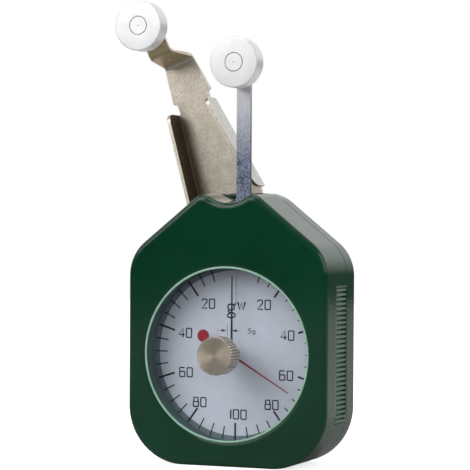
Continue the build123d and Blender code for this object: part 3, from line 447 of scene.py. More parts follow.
def make_arm_steel(name):
    """Ground steel with a painted reflection: bright at the top, mottled blue-grey with painted glints lower
    down.
    """
    material, shader = new_finish(name, Metallic=0.8)
    mottle = grain(material, (1500.0, 1500.0, 1100.0), 5.0)
    lower = mix_colours(material, mottle, seen(62, 72, 100), seen(138, 149, 176))
    specks = peaks(material, grain(material, 3800.0, 1.0), 7.0)
    lower = mix_colours(material, specks, lower, seen(236, 240, 248))
    lines = grain(material, (5000.0, 5000.0, 250.0), 3.0)
    upper = mix_colours(material, lines, seen(208, 210, 215), seen(226, 227, 230))
    # Painted reflection: the bright top blends into the darker mottle by height.
    blend = mix_colours(material, dot_share(material, "Object", UP, *REFLECTION_HEIGHTS), lower, upper)
    blend = wear_and_shade_edges(material, blend, seen(240, 242, 246), 0.25 * MM, 0.5, 2000.0)
    rough = grain(material, (2600.0, 2600.0, 900.0), 3.0, 0.3, 0.5)
    feed(shader, Base_Color=blend, Roughness=rough)
    add_bump(shader, mottle, 0.02 * MM, 0.6)
    return material


arm_metal = make_arm_steel("mottled_arm_steel")
print("arm steel nodes", len(arm_metal.node_tree.nodes))

# %% [markdown]
# ### Turned metals
# A turned face carries rings round its axis, so its bump comes from the turning group, centred on
# the piece. Light drawn out across such rings makes two bright fans. On the knob an anisotropic
# highlight does that, with its tangent running round the axis.

# %% Turned metals
BRIGHT_EDGE = seen(245, 243, 238)


def make_turned(
    name, tone, second_tone, centre, rings, rough,
    anisotropy=0.0, metallic=1.0, depth=0.01 * MM, edge=BRIGHT_EDGE,
):
    """Metal turned on an axis along Y through centre."""
    material, shader = new_finish(name, Metallic=metallic, Anisotropic=anisotropy)
    base = mix_colours(material, grain(material, 250.0, 4.0), tone, second_tone)
    base = wear_and_shade_edges(material, base, edge, 0.3 * MM, 1.0, 1500.0)
    feed(shader, Base_Color=base, Roughness=grain(material, 400.0, 4.0, *rough))
    marks = place_group(material, turning_group, Centre=tuple(centre), Rings=rings)
    add_bump(shader, marks, depth, 0.5)
    if anisotropy:
        tangent = add_node(material.node_tree, "Tangent", direction_type="RADIAL", axis="Y")
        feed(shader, Tangent=tangent.outputs[0])
    return material


knob_metal = make_turned(
    "turned_nickel", seen(198, 187, 171), seen(178, 167, 151), DIAL, 5000.0, (0.28, 0.4),
    anisotropy=0.7, metallic=0.8,
)
steel_pin = make_turned(
    "turned_steel", seen(205, 206, 208), seen(185, 186, 190), DIAL, 5000.0, (0.25, 0.4)
)
print("turned metals ready")

# %% [markdown]
# ## Dial and inks
# The dial is sprayed a cool white and printed with a blue-black ink. The pointers are painted,
# one black and one red. All these coats are thin and even, so one recipe with a slow drift of
# tone and a fine drift of roughness serves them all.

# %% Paints
ROUGH_DRIFT = 0.05


def make_paint(name, tone, second_tone, rough):
    """Thin even paint or ink."""
    material, shader = new_finish(name, Specular_IOR_Level=0.3)
    base = mix_colours(material, grain(material, 400.0, 5.0), tone, second_tone)
    spread = grain(material, 2500.0, 3.0, rough - ROUGH_DRIFT, rough + ROUGH_DRIFT)
    feed(shader, Base_Color=base, Roughness=spread)
    add_bump(shader, spread, 0.01 * MM, 0.3)
    return material


dial_paint = make_paint("dial_white", seen(190, 195, 206), seen(184, 190, 201), 0.6)
# The well's wall is a grey darkened to a painted shade, as it faces away from the key lamp.
well_shade_paint = make_paint("well_grey_painted_shade", seen(78, 95, 97), seen(66, 84, 86), 0.5)
band_paint = make_paint("dial_band", seen(106, 121, 126), seen(96, 111, 116), 0.6)
# Painted highlight for the rounded lip of the opening.
lip_highlight_paint = make_paint("lip_painted_highlight", seen(150, 186, 168), seen(128, 166, 148), 0.3)
dial_ink = make_paint("blue_black_ink", seen(18, 21, 32), seen(26, 30, 42), 0.6)
black_paint = make_paint("pointer_black", seen(20, 22, 26), seen(28, 30, 34), 0.4)
red_paint = make_paint("pointer_red", seen(140, 12, 36), seen(128, 10, 32), 0.4)
fibre = make_paint("washer_fibre", seen(58, 50, 44), seen(48, 42, 38), 0.8)
print("paints ready")

# %% [markdown]
# ## Glass
# The lens in front of the dial is thin and clear, and it barely shows. Full transmission with a
# low index keeps it from bending the dial's print, and a trace of uneven roughness stands for
# the film that fingers leave.

# %% Lens
lens_glass, lens_shader = new_finish(
    "clear_lens", Transmission_Weight=1.0, IOR=1.2, Roughness=0.0, Base_Color=(0.98, 0.99, 1.0, 1.0)
)
feed(lens_shader, Roughness=grain(lens_glass, 120.0, 4.0, 0.0, 0.03))
print("glass ready")

# %% [markdown]
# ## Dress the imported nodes
# Most nodes already have the right shape, so they only take a finish. A node's shape is never
# touched: only its material changes. The screws, pins and shafts that the list doesn't name take
# plain turned steel. The lens casts no shadow, as clear glass hardly does.

# %% Finish each node
FINISHES = (
    (enamel, "front_housing rear_cover"),
    (lens_glass, "lens"),
    (well_shade_paint, "spacer_ring"),
    (dial_paint, "dial_plate"),
    (plate_brass, "front_plate rear_plate plate_pillars sector_gear spring_studs"),
    (spring_steel, "measuring_spring hairspring"),
    (black_paint, "gauge_pointer"),
    (red_paint, "peak_pointer"),
    (arm_metal, "measuring_arm"),
    (guard_metal, "guard_bracket"),
    (knob_metal, "reset_knob"),
    (fibre, "pivot_washer"),
)
finish_of = {node: finish for finish, nodes in FINISHES for node in nodes.split()}
for node_name, node_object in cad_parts.items():
    node_object.data.materials.clear()
    node_object.data.materials.append(finish_of.get(node_name, steel_pin))
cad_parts["lens"].visible_shadow = False
print("finished", len(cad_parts), "nodes")

# %% [markdown]
# ## Modelling helpers
# Blender's operators work on whatever is selected, so each piece starts from a cleared selection.
# Round pieces here all stand along Y, so one helper adds a cylinder between two depths and puts
# its place into its mesh, which leaves the object itself at the origin.

# %% Selection and cylinders
def clear_selection():
    """Deselect every object."""
    bpy.ops.object.select_all(action="DESELECT")


def only(piece):
    """Select one object and make it active."""
    clear_selection()
    piece.select_set(True)
    bpy.context.view_layer.objects.active = piece


def settle(name="part"):
    """Name the new primitive, put its place into its mesh, and return it."""
    piece = bpy.context.object
    piece.name = name
    bpy.ops.object.transform_apply(location=True, rotation=True, scale=True)
    return piece


def add_bar(name, radius, y_low, y_high, centre, segments=96):
    """A cylinder along Y between two depths, as a new object at the origin."""
    clear_selection()
    bpy.ops.mesh.primitive_cylinder_add(
        vertices=segments,
        radius=radius,
        depth=y_high - y_low,
        location=(centre.x, (y_low + y_high) / 2, centre.z),
        rotation=(pi / 2, 0, 0),
    )
    return settle(name)


print("selection helpers ready")

# %% [markdown]
# In edit mode, faces are picked in code by a test of their place and normal. An end face is one
# whose normal is nearly straight along Y. It can then be inset and pushed, as a lathe steps it.

# %% Faces, edges and joining
FACE_TOLERANCE = 0.004 * MM
FLAT = 0.9


def start_edit():
    """Open the active piece's mesh for editing."""
    bpy.ops.object.mode_set(mode="EDIT")


def end_edit():
    """Close the mesh again."""
    bpy.ops.object.mode_set(mode="OBJECT")


def pick_faces(piece, test):
    """In edit mode, select the faces whose centre and normal pass a test."""
    bpy.ops.mesh.select_mode(type="FACE")
    bpy.ops.mesh.select_all(action="DESELECT")
    mesh = bmesh.from_edit_mesh(piece.data)
    for face in mesh.faces:
        if test(face.calc_center_median(), face.normal):
            face.select_set(True)
    bmesh.update_edit_mesh(piece.data)


def step_face(piece, y, outward, inset, move):
    """Inset the flat end face at depth y, then push the inner part along Y."""
    pick_faces(
        piece, lambda place, normal: abs(place.y - y) < FACE_TOLERANCE and normal.y * outward > FLAT
    )
    bpy.ops.mesh.inset(thickness=inset, use_even_offset=True)
    if move:
        bpy.ops.mesh.extrude_region_move(TRANSFORM_OT_translate={"value": (0, move, 0)})


def bevel_edges(piece, width, segments=2, angle=40):
    """Round all edges sharper than an angle with a bevel modifier, and apply it."""
    only(piece)
    modifier = piece.modifiers.new("edges", "BEVEL")
    modifier.width = width
    modifier.segments = segments
    modifier.limit_method = "ANGLE"
    modifier.angle_limit = radians(angle)
    bpy.ops.object.modifier_apply(modifier=modifier.name)


def join_pieces(pieces, name):
    """Join several objects into one."""
    clear_selection()
    for piece in pieces:
        piece.select_set(True)
    bpy.context.view_layer.objects.active = pieces[0]
    bpy.ops.object.join()
    pieces[0].name = name
    return pieces[0]


def finish_piece(piece, body, material, smooth=35):
    """Shade a piece, give it its material and slot, and let it ride on a body.

    Weighted normals keep the flat faces looking flat right up to their small bevels.
    """
    only(piece)
    bpy.ops.object.shade_smooth_by_angle(angle=radians(smooth))
    modifier = piece.modifiers.new("flat_faces", "WEIGHTED_NORMAL")
    modifier.keep_sharp = True
    modifier.thresh = 0.0
    bpy.ops.object.modifier_apply(modifier=modifier.name)
    piece.data.materials.clear()
    piece.data.materials.append(material)
    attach(piece, body)
    print(piece.name, "faces", len(piece.data.polygons))


print("modelling helpers ready")

# %% [markdown]
# ## Rollers
# Each roller is a turned aluminium disc with small chamfers. Its front is counterbored, and a pin
# head fills the counterbore nearly flush, so only a thin ring of shadow shows round it. Insets
# and short extrusions of the front face follow the steps that a lathe would take.

# %% Rollers
ROLLER_CHAMFER = 0.35 * MM
RECESS_RADIUS = 2.72 * MM
RECESS_DEPTH = 0.95 * MM
BACK_STEP = 0.12 * MM
BACK_RIM = 0.55
EDGE_BREAK = 0.05 * MM


def make_roller(name, node, body, material):
    """A turned roller that stands for a node."""
    low, high = box_of(node)
    radius = (high.x - low.x) / 2
    piece = add_bar(name, radius, low.y, high.y, centre_of(node))
    bevel_edges(piece, ROLLER_CHAMFER, 2)
    start_edit()
    step_face(piece, low.y, -1, radius - ROLLER_CHAMFER - RECESS_RADIUS, RECESS_DEPTH)
    step_face(piece, high.y, 1, radius * BACK_RIM, BACK_STEP)
    end_edit()
    bevel_edges(piece, EDGE_BREAK, 1)
    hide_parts(node)
    finish_piece(piece, body, material)
    return piece


print("roller recipe ready")

# %% [markdown]
# A roller's pin is one turned piece: a head with a small centre mark, a shank, a collar that
# keeps the roller off its carrier, and a rivet head behind. Each is a bar with its own bevel, and
# the four are joined. The shank ends inside the rivet head, so no two end faces lie together.

# %% Roller pins
HEAD_RADIUS = RECESS_RADIUS - 0.15 * MM
HEAD_THICKNESS = 0.9 * MM
HEAD_BEVEL = 0.06 * MM
CENTRE_MARK = 0.22 * MM
MARK_SINK = 0.15 * MM
SHANK_RADIUS = 1.2 * MM
COLLAR_RADIUS = 2.2 * MM
RIVET_RADIUS = 1.9 * MM
RIVET_HEIGHT = 0.4 * MM
COLLAR_FROM_END = 1.65 * MM


def make_roller_pin(name, node, roller, body, material):
    """A headed pin with a collar and a rivet head, standing for a node."""
    low, high = box_of(node)
    collar_front = box_of(roller)[1].y + 0.05 * MM
    centre = centre_of(node)
    head = add_bar(name, HEAD_RADIUS, low.y, low.y + HEAD_THICKNESS, centre, 64)
    bevel_edges(head, HEAD_BEVEL, 2)
    start_edit()
    step_face(head, low.y, -1, HEAD_RADIUS - HEAD_BEVEL - CENTRE_MARK, 0)
    bpy.ops.mesh.extrude_region_move(TRANSFORM_OT_translate={"value": (0, MARK_SINK, 0)})
    bpy.ops.transform.resize(value=(0.3, 1, 0.3), center_override=(centre.x, low.y, centre.z))
    end_edit()
    shank = add_bar("shank", SHANK_RADIUS, low.y + 0.85 * MM, high.y - 0.1 * MM, centre, 48)
    collar = add_bar("collar", COLLAR_RADIUS, collar_front, high.y - COLLAR_FROM_END, centre, 64)
    bevel_edges(collar, 0.1 * MM, 2)
    rivet = add_bar("rivet", RIVET_RADIUS, high.y - RIVET_HEIGHT, high.y, centre, 48)
    bevel_edges(rivet, 0.18 * MM, 3)
    join_pieces([head, shank, collar, rivet], name)
    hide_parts(node)
    finish_piece(head, body, material, smooth=20)
    return head


# The rollers' dark grey edge tone is a painted dark reflection on their chamfers, not wear.
for carrier in ("arm", "guard"):
    roller = carrier + "_roller"
    turned = make_turned(
        carrier + "_turned_aluminium", seen(236, 236, 237), seen(228, 229, 230), centre_of(roller),
        3500.0, (0.28, 0.38), metallic=0.5, depth=0.004 * MM, edge=seen(104, 106, 110),
    )
    make_roller(roller + "_turned", roller, roller, turned)
    make_roller_pin(roller + "_pin_turned", roller + "_pin", roller, carrier, turned)

# %% [markdown]
# ## The guard's sheet metal
# The guard is one blank of sheet steel, bent four times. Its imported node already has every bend,
# but its cut edges are knife sharp, and no real blank's are. A merged copy of the node takes a
# fine bevel, which catches the light along every edge.

# %% Round the sheet's edges
MERGE_REACH = 0.001 * MM
FLAT_WITHIN = radians(0.6)


def round_sheet(name, node, width, body, material):
    """A merged copy of a node's mesh with its cut edges rounded, standing for the node."""
    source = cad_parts[node]
    piece = bpy.data.objects.new(name, source.data.copy())
    bpy.context.collection.objects.link(piece)
    piece.data.transform(source.matrix_world)
    only(piece)
    start_edit()
    bpy.ops.mesh.select_all(action="SELECT")
    bpy.ops.mesh.remove_doubles(threshold=MERGE_REACH)
    bpy.ops.mesh.dissolve_limited(angle_limit=FLAT_WITHIN)
    end_edit()
    bevel_edges(piece, width, 2, angle=35)
    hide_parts(node)
    finish_piece(piece, body, material)


round_sheet("guard_sheet", "guard_bracket", 0.12 * MM, "guard", guard_metal)

# %% [markdown]
# ## The arm's strip
# The measuring arm is a flat, narrow strip of ground steel with a round hub at its foot. The same
# rounding serves, with a slightly finer bevel, because its edges are ground and not just cut.

# %% Round the arm's edges
round_sheet("arm_strip", "measuring_arm", 0.1 * MM, "arm", arm_metal)

# %% [markdown]
# ## The reset knob
# The knob is turned from bar and straight knurled. Forty grooves run along its side, its two ends
# are chamfered, and its face keeps the fine rings of the facing cut with a small centre dimple.
# A cylinder with four corners per groove makes this simple: every fourth corner is pulled in.

# %% Knurled knob
KNOB_GROOVES = 40
KNOB_CORNERS = 4 * KNOB_GROOVES
GROOVE_DEPTH = 0.5 * MM
KNOB_CHAMFER = 0.28 * MM
FACE_SHARE = 0.9
DIMPLE_RADIUS = 0.35 * MM
DIMPLE_DEPTH = 0.2 * MM

knob_low, knob_high = box_of("reset_knob")
knob_radius = (knob_high.z - knob_low.z) / 2
side_low, side_high = knob_low.y + KNOB_CHAMFER, knob_high.y - KNOB_CHAMFER
knob = add_bar("knurled_knob", knob_radius, side_low, side_high, DIAL, KNOB_CORNERS)


def push_and_scale(move, share):
    """Extrude what is selected along Y, and scale it towards the dial's axis."""
    bpy.ops.mesh.extrude_region_move(TRANSFORM_OT_translate={"value": (0, move, 0)})
    bpy.ops.transform.resize(value=(share, 1, share), center_override=tuple(DIAL))


start_edit()
bpy.ops.mesh.select_mode(type="VERT")
bpy.ops.mesh.select_all(action="DESELECT")
knob_mesh = bmesh.from_edit_mesh(knob.data)
for vertex in knob_mesh.verts:
    corner = atan2(vertex.co.z - DIAL.z, vertex.co.x - DIAL.x) * KNOB_CORNERS / (2 * pi)
    vertex.select_set(round(corner) % 4 == 0)
bmesh.update_edit_mesh(knob.data)
shrink = (knob_radius - GROOVE_DEPTH) / knob_radius
bpy.ops.transform.resize(value=(shrink, 1, shrink), center_override=tuple(DIAL))
for outward in (-1, 1):
    pick_faces(knob, lambda place, normal: normal.y * outward > FLAT)
    push_and_scale(outward * KNOB_CHAMFER, (knob_radius - KNOB_CHAMFER) / knob_radius)
pick_faces(knob, lambda place, normal: abs(place.y - knob_low.y) < 0.01 * MM and normal.y < -FLAT)
push_and_scale(0, FACE_SHARE)
push_and_scale(0, DIMPLE_RADIUS / (FACE_SHARE * knob_radius))
push_and_scale(DIMPLE_DEPTH, 0.3)
end_edit()
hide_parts("reset_knob")
finish_piece(knob, "peak", knob_metal, smooth=25)

# %% [markdown]
# ## Grip ribs
# The ribs in the grip recesses are cast with the case. Each is a low half-round bar whose back
# end is rounded off like a ball, and that end catches a small point of light. A sphere makes
# such a bar: one half of it is pulled along Y, and the bar leans so that its ball stands flush
# with the flank. One rib is modelled, then copied up both flanks.

# %% Ball-ended ribs
RIB_RADIUS = 0.54 * MM
RIB_COUNT = 29
GRIP_LOW = 12.3 * MM
GRIP_HIGH = 50.6 * MM
RIB_FRONT = -3.8 * MM
RIB_BACK = 4.35 * MM
RIB_FRONT_DEPTH = 0.85 * MM
RIB_BACK_DEPTH = 0.52 * MM

flank_x = box_of("front_housing")[1].x


def make_rib():
    """One ball-ended rib for the right flank, its middle at height 0."""
    clear_selection()
    bpy.ops.mesh.primitive_uv_sphere_add(
        segments=12, ring_count=8, radius=RIB_RADIUS, rotation=(pi / 2, 0, 0)
    )
    piece = settle()
    start_edit()
    pick_faces(piece, lambda place, normal: place.y < 0)
    bpy.ops.transform.translate(value=(RIB_BACK_DEPTH - RIB_FRONT_DEPTH, RIB_FRONT - RIB_BACK, 0))
    end_edit()
    piece.data.transform(Matrix.Translation((flank_x - RIB_BACK_DEPTH, RIB_BACK, 0)))
    return piece


pattern = make_rib()
rib_pitch = (GRIP_HIGH - GRIP_LOW) / RIB_COUNT
ribs = []
for flank_turn in (0.0, pi):
    for index in range(RIB_COUNT):
        rib = pattern.copy()
        rib.data = pattern.data.copy()
        bpy.context.collection.objects.link(rib)
        rise = Matrix.Translation((0, 0, GRIP_LOW + (index + 0.5) * rib_pitch))
        rib.data.transform(rise @ Matrix.Rotation(flank_turn, 4, "Y"))
        ribs.append(rib)
bpy.data.objects.remove(pattern)
grip_ribs = join_pieces(ribs, "grip_ribs")
finish_piece(grip_ribs, "housing", rib_sheen_enamel)

# %% [markdown]
# ## The lip of the opening and the dial's band
# The rounded lip of the opening shows a pale green line all round, a painted highlight. A thin bead
# that carries it sits on that lip: a small circle, spun round the dial's axis. The dial's outer edge
# carries a dark grey band, and the scale's lines run out over it. It is a cylinder whose two ends
# are inset and then bridged, which leaves a flat ring.

# %% Bead and band
LIP_RADIUS = 24.5 * MM
LIP_BEAD = 0.32 * MM
LIP_SINK = 0.35 * MM
LIP_STEPS = 160
BAND_INNER = 23.5 * MM
BAND_OUTER = 24.98 * MM
BAND_HEIGHT = 0.012 * MM

clear_selection()
lip_y = box_of("front_housing")[0].y + LIP_SINK
bpy.ops.mesh.primitive_circle_add(
    vertices=16, radius=LIP_BEAD, location=(DIAL.x + LIP_RADIUS, lip_y, DIAL.z)
)
lip_highlight_bead = settle("lip_highlight_bead")
start_edit()
bpy.ops.mesh.select_all(action="SELECT")
bpy.ops.mesh.spin(steps=LIP_STEPS, angle=2 * pi, center=tuple(DIAL), axis=(0, 1, 0))
bpy.ops.mesh.select_all(action="SELECT")
bpy.ops.mesh.remove_doubles(threshold=MERGE_REACH)
bpy.ops.mesh.normals_make_consistent(inside=False)
end_edit()
finish_piece(lip_highlight_bead, "housing", lip_highlight_paint)

dial_band = add_bar(
    "dial_band", BAND_OUTER, DIAL_FACE - BAND_HEIGHT, DIAL_FACE + BAND_HEIGHT, DIAL, LIP_STEPS
)
start_edit()
pick_faces(dial_band, lambda place, normal: abs(normal.y) > FLAT)
bpy.ops.mesh.inset(thickness=BAND_OUTER - BAND_INNER, use_even_offset=True)
bpy.ops.mesh.bridge_edge_loops()
end_edit()
finish_piece(dial_band, "housing", band_paint)

# %% [markdown]
# ## The dial's print
# The print is a thin layer of ink. It is modelled as real raised strokes, a few hundredths of a
# millimetre high. The scale runs both ways from the top, with a line every nine degrees and a
# long bold line at each numeral.

# %% Scale lines
INK_HEIGHT = 0.02 * MM
LINE_STEP = 9
BOLD_STEP = 36
FIRST_LINE = 18
SCALE_OUTER = 24.9 * MM
MINOR_LINE = (21.1 * MM, 0.36 * MM)
MAJOR_LINE = (19.8 * MM, 0.56 * MM)
ZERO_LINE = (13.4 * MM, 21.9 * MM, 0.12 * MM)


def ink_block(width, height):
    """A flat bar of ink at the origin, wide along X and high along Z."""
    clear_selection()
    bpy.ops.mesh.primitive_cube_add(size=1)
    bpy.ops.transform.resize(value=(width, 2 * INK_HEIGHT, height))
    return settle()


def add_line(turn, inner, outer, width):
    """One printed line along a radius, turned clockwise from the top."""
    piece = ink_block(width, outer - inner)
    rise = Matrix.Translation((0, 0, (inner + outer) / 2))
    seat = Matrix.Translation((DIAL.x, DIAL_FACE, DIAL.z))
    piece.data.transform(seat @ Matrix.Rotation(radians(turn), 4, "Y") @ rise)
    return piece


lines = []
for turn in range(FIRST_LINE, 360 - FIRST_LINE + 1, LINE_STEP):
    inner, width = MINOR_LINE if turn % BOLD_STEP else MAJOR_LINE
    lines.append(add_line(turn, inner, SCALE_OUTER, width))
lines.append(add_line(0, *ZERO_LINE))
scale_lines = join_pieces(lines, "scale_lines")
finish_piece(scale_lines, "housing", dial_ink)

# %% [markdown]
# ### Numerals
# The numerals are drawn in a squared technical hand, as from a stencil. Each figure is a few
# strokes on a grid one wide and 1.4 high. The strokes are curves with a round section, made
# into a mesh and then pressed flat against the dial.

# %% Stroke figures
FIGURES = {
    "0": [
        [(0.08, 0), (0.92, 0), (1, 0.1), (1, 1.3), (0.92, 1.4), (0.08, 1.4), (0, 1.3), (0, 0.1), (0.08, 0)],
    ],
    "1": [[(0.95, 0), (0.95, 1.4)]],
    "2": [[(0.02, 1.08), (0.12, 1.36), (0.5, 1.42), (0.88, 1.36), (0.98, 1.1), (0.85, 0.82), (0, 0), (1, 0)]],
    "4": [[(0.78, 0), (0.78, 1.4), (0, 0.42), (1.08, 0.42)]],
    "5": [[(0.95, 1.4), (0.12, 1.4), (0.05, 0.8), (0.8, 0.8), (1, 0.62), (1, 0.15), (0.82, 0), (0, 0)]],
    "6": [
        [(0.95, 1.4), (0.1, 1.4), (0, 1.3), (0, 0.1), (0.1, 0)]
        + [(0.9, 0), (1, 0.1), (1, 0.72), (0.9, 0.8), (0, 0.8)],
    ],
    "8": [
        [(0.1, 0.75), (0.1, 1.4), (0.9, 1.4), (0.9, 0.75)],
        [(0, 0.1), (0, 0.75), (1, 0.75), (1, 0.1), (0.9, 0), (0.1, 0), (0, 0.1)],
    ],
    "g": [
        [(0.45, 1.4), (0.12, 1.28), (0.06, 1.0), (0.2, 0.76), (0.5, 0.7)]
        + [(0.8, 0.8), (0.86, 1.1), (0.72, 1.34), (0.45, 1.4)],
        [(0.7, 1.3), (1.05, 1.42)],
        [(0.24, 0.74), (0.1, 0.55), (0.3, 0.42), (0.75, 0.38), (0.98, 0.2), (0.9, -0.05), (0.5, -0.18)],
        [(0.5, -0.18), (0.1, -0.1), (0.02, 0.12), (0.2, 0.3), (0.4, 0.4)],
    ],
    "q": [[(0.9, 1.1), (0, 1.1), (0, 0.3), (0.9, 0.3)], [(0.9, 1.1), (0.9, -0.2), (0.1, -0.2)]],
    "w": [
        [(0, 1.1), (0.3, 0), (0.6, 1.1), (0.9, 0), (1.2, 1.1)],
        [(-0.15, 1.1), (0.15, 1.1)],
        [(1.05, 1.1), (1.35, 1.1)],
    ],
}


FIGURE_HEIGHT = 1.4
FIGURE_SPACING = 1.45


def stroke_text(text, x, z, size, width, narrow):
    """Strokes for a text centred at x and z on the dial, one curve object made into a mesh."""
    curve = bpy.data.curves.new("strokes", "CURVE")
    curve.dimensions = "3D"
    curve.bevel_depth = width / 2
    curve.bevel_resolution = 1
    curve.use_fill_caps = True
    start = x - size * narrow * (FIGURE_SPACING * (len(text) - 1) + 1) / 2
    for index, figure in enumerate(text):
        for stroke in FIGURES[figure]:
            spline = curve.splines.new("POLY")
            spline.points.add(len(stroke) - 1)
            for point, (across, up) in zip(spline.points, stroke):
                reach = size * narrow * (FIGURE_SPACING * index + across)
                point.co = (start + reach, 0, z + size * (up - FIGURE_HEIGHT / 2), 1)
    piece = bpy.data.objects.new("strokes", curve)
    bpy.context.collection.objects.link(piece)
    only(piece)
    bpy.ops.object.convert(target="MESH")
    piece = bpy.context.object
    flatten = Matrix.Diagonal((1, INK_HEIGHT / (width / 2), 1, 1))
    piece.data.transform(Matrix.Translation((DIAL.x, DIAL_FACE, DIAL.z)) @ flatten)
    return piece


print("stroke recipe ready")

# %% [markdown]
# Each word on the dial is a row of a table: its text, its place from the dial's centre, its size,
# the width of its strokes and how narrow its figures are, all lengths in millimetres. The
# numerals stand twice, since the scale runs both ways from the top.

# %% Place the figures
NUMERAL_LOOK = (1.85, 0.46, 0.86)
WORDS = [
    (text, side * x, z, *NUMERAL_LOOK)
    for text, x, z in (("20", 8.5, 13.9), ("40", 15.6, 5.4), ("60", 15.3, -5.9), ("80", 11.0, -14.3))
    for side in (-1, 1)
] + [
    ("100", 0.2, -17.4, *NUMERAL_LOOK),
    ("g", -1.4, 12.2, 2.5, 0.52, 1.0),
    ("w", 1.5, 13.6, 1.75, 0.62, 1.0),
    ("5", 4.2, 6.4, 0.9, 0.26, 1.0),
    ("q", 5.5, 6.2, 0.8, 0.26, 1.0),
]
marks = [
    stroke_text(text, x * MM, z * MM, size * MM, width * MM, narrow)
    for text, x, z, size, width, narrow in WORDS
]
numerals = join_pieces(marks, "numerals")
finish_piece(numerals, "housing", dial_ink)

# %% [markdown]
# ### The division mark
# Two short bars show how wide five grams are, with an arrow pointing at each from outside.
# An arrow is a thin shaft and a head, a bar with three corners that are moved to a flat triangle.

# %% Bars and arrows
MARK_Z = 6.35 * MM
BAR_HALF = 0.06 * MM
BAR_LOW, BAR_HIGH = 4.6 * MM, 8.2 * MM
SHAFT_HALF = 0.05 * MM
HEAD_HALF = 0.4 * MM
HEAD_LENGTH = 1.5 * MM


def add_stripe(x_low, x_high, z_low, z_high):
    """A flat rectangle of ink between two corners on the dial."""
    piece = ink_block(x_high - x_low, z_high - z_low)
    middle = ((x_low + x_high) / 2, DIAL_FACE, (z_low + z_high) / 2 + DIAL.z)
    piece.data.transform(Matrix.Translation(middle))
    return piece


def add_arrow_head(x, z, half_height, length):
    """A flat triangle of ink whose point is at x and z. A negative length points left."""
    clear_selection()
    bpy.ops.mesh.primitive_cylinder_add(vertices=3, radius=1, depth=2, rotation=(pi / 2, 0, 0))
    piece = settle()
    tip_z = max(vertex.co.z for vertex in piece.data.vertices)
    for vertex in piece.data.vertices:
        if vertex.co.z > tip_z - 0.1:
            vertex.co = (x, vertex.co.y, z)
        else:
            vertex.co = (x - length, vertex.co.y, z + half_height * (1 if vertex.co.x > 0 else -1))
        vertex.co.y = DIAL_FACE + INK_HEIGHT * (1 if vertex.co.y > 0 else -1)
    piece.data.transform(Matrix.Translation((0, 0, DIAL.z)))
    return piece


stripes = [
    add_stripe(x * MM - BAR_HALF, x * MM + BAR_HALF, BAR_LOW, BAR_HIGH) for x in (-2.6, -1.4)
] + [
    add_stripe(x_low * MM, x_high * MM, MARK_Z - SHAFT_HALF, MARK_Z + SHAFT_HALF)
    for x_low, x_high in ((-5.9, -3.4), (-0.6, 1.4))
] + [
    add_arrow_head(-2.8 * MM, MARK_Z, HEAD_HALF, HEAD_LENGTH),
    add_arrow_head(-1.2 * MM, MARK_Z, HEAD_HALF, -HEAD_LENGTH),
]
division_mark = join_pieces(stripes, "division_mark")
only(division_mark)
start_edit()
bpy.ops.mesh.select_all(action="SELECT")
bpy.ops.mesh.normals_make_consistent(inside=False)
end_edit()
finish_piece(division_mark, "housing", dial_ink)

# %% [markdown]
# ## Camera
# The camera stands in front and to the right of the gauge, nearly level with its middle, and far
# enough away that the case keeps almost parallel sides. Its axes are built from a yaw, a pitch
# and a small roll, and it then slides a little along them to put the gauge in its frame.

# %% Place the camera
TARGET = Vector((0, -12.5, 65.088)) * MM
YAW = radians(21.806)
PITCH = radians(0.196)
ROLL = radians(0.3635)
DISTANCE = 575.65 * MM
SHIFT_RIGHT = 2.544 * MM
SHIFT_UP = 0.075 * MM
FOCAL_PIXELS = 2052.8
FRAME_PIXELS = 470
SENSOR_WIDTH = 36.0

forward = Vector((-sin(YAW) * cos(PITCH), cos(YAW) * cos(PITCH), -sin(PITCH)))
level_right = Vector((cos(YAW), sin(YAW), 0))
level_up = level_right.cross(forward)
right = cos(ROLL) * level_right + sin(ROLL) * level_up
up = -sin(ROLL) * level_right + cos(ROLL) * level_up
place = TARGET + SHIFT_RIGHT * right + SHIFT_UP * up - DISTANCE * forward

camera_data = bpy.data.cameras.new("view_camera")
camera_data.sensor_width = SENSOR_WIDTH
camera_data.lens = FOCAL_PIXELS / FRAME_PIXELS * SENSOR_WIDTH
camera = bpy.data.objects.new("view_camera", camera_data)
bpy.context.collection.objects.link(camera)
turn = Matrix((right, up, -forward)).transposed().to_4x4()
camera.matrix_world = Matrix.Translation(place) @ turn
bpy.context.scene.camera = camera
print("camera at", [round(value, 4) for value in place], "lens", round(camera_data.lens, 2))

# %% [markdown]
# ## Lamps
# Product light is soft and even. One large lamp from the upper left gives the shapes their
# direction, one from the right fills, and one from above lights the upper edges. A lamp's place
# is given as an azimuth, counted from the front to the right, an elevation and a distance.

# %% Lamps
def add_lamp(name, azimuth, elevation, distance, size, power):
    """A square lamp that looks at the target."""
    data = bpy.data.lights.new(name, "AREA")
    data.size = size
    data.energy = power
    lamp = bpy.data.objects.new(name, data)
    bpy.context.collection.objects.link(lamp)
    azimuth, elevation = radians(azimuth), radians(elevation)
    level = cos(elevation)
    offset = Vector((sin(azimuth) * level, -cos(azimuth) * level, sin(elevation)))
    lamp.location = TARGET + distance * offset
    lamp.rotation_euler = (-offset).to_track_quat("-Z", "Y").to_euler()


add_lamp("key_lamp", -36, 30, 0.85, 0.65, 3.4)
add_lamp("fill_lamp", 72, 25, 1.1, 0.7, 2.7)
add_lamp("top_lamp", 10, 80, 0.9, 0.6, 2.2)
print("lamps placed")

# %% [markdown]
# ## The room
# The world looks different to each kind of ray. The camera, and glass that it looks through, see
# plain white. Matt surfaces get an even glow. Shiny ones reflect a room that is bright above and
# behind the gauge, and dim in front of it and near the horizon, which is what gives the enamel
# its deep tone.

# %% World
WHITE = (1.0, 1.0, 1.0, 1.0)
GLOW = 0.55


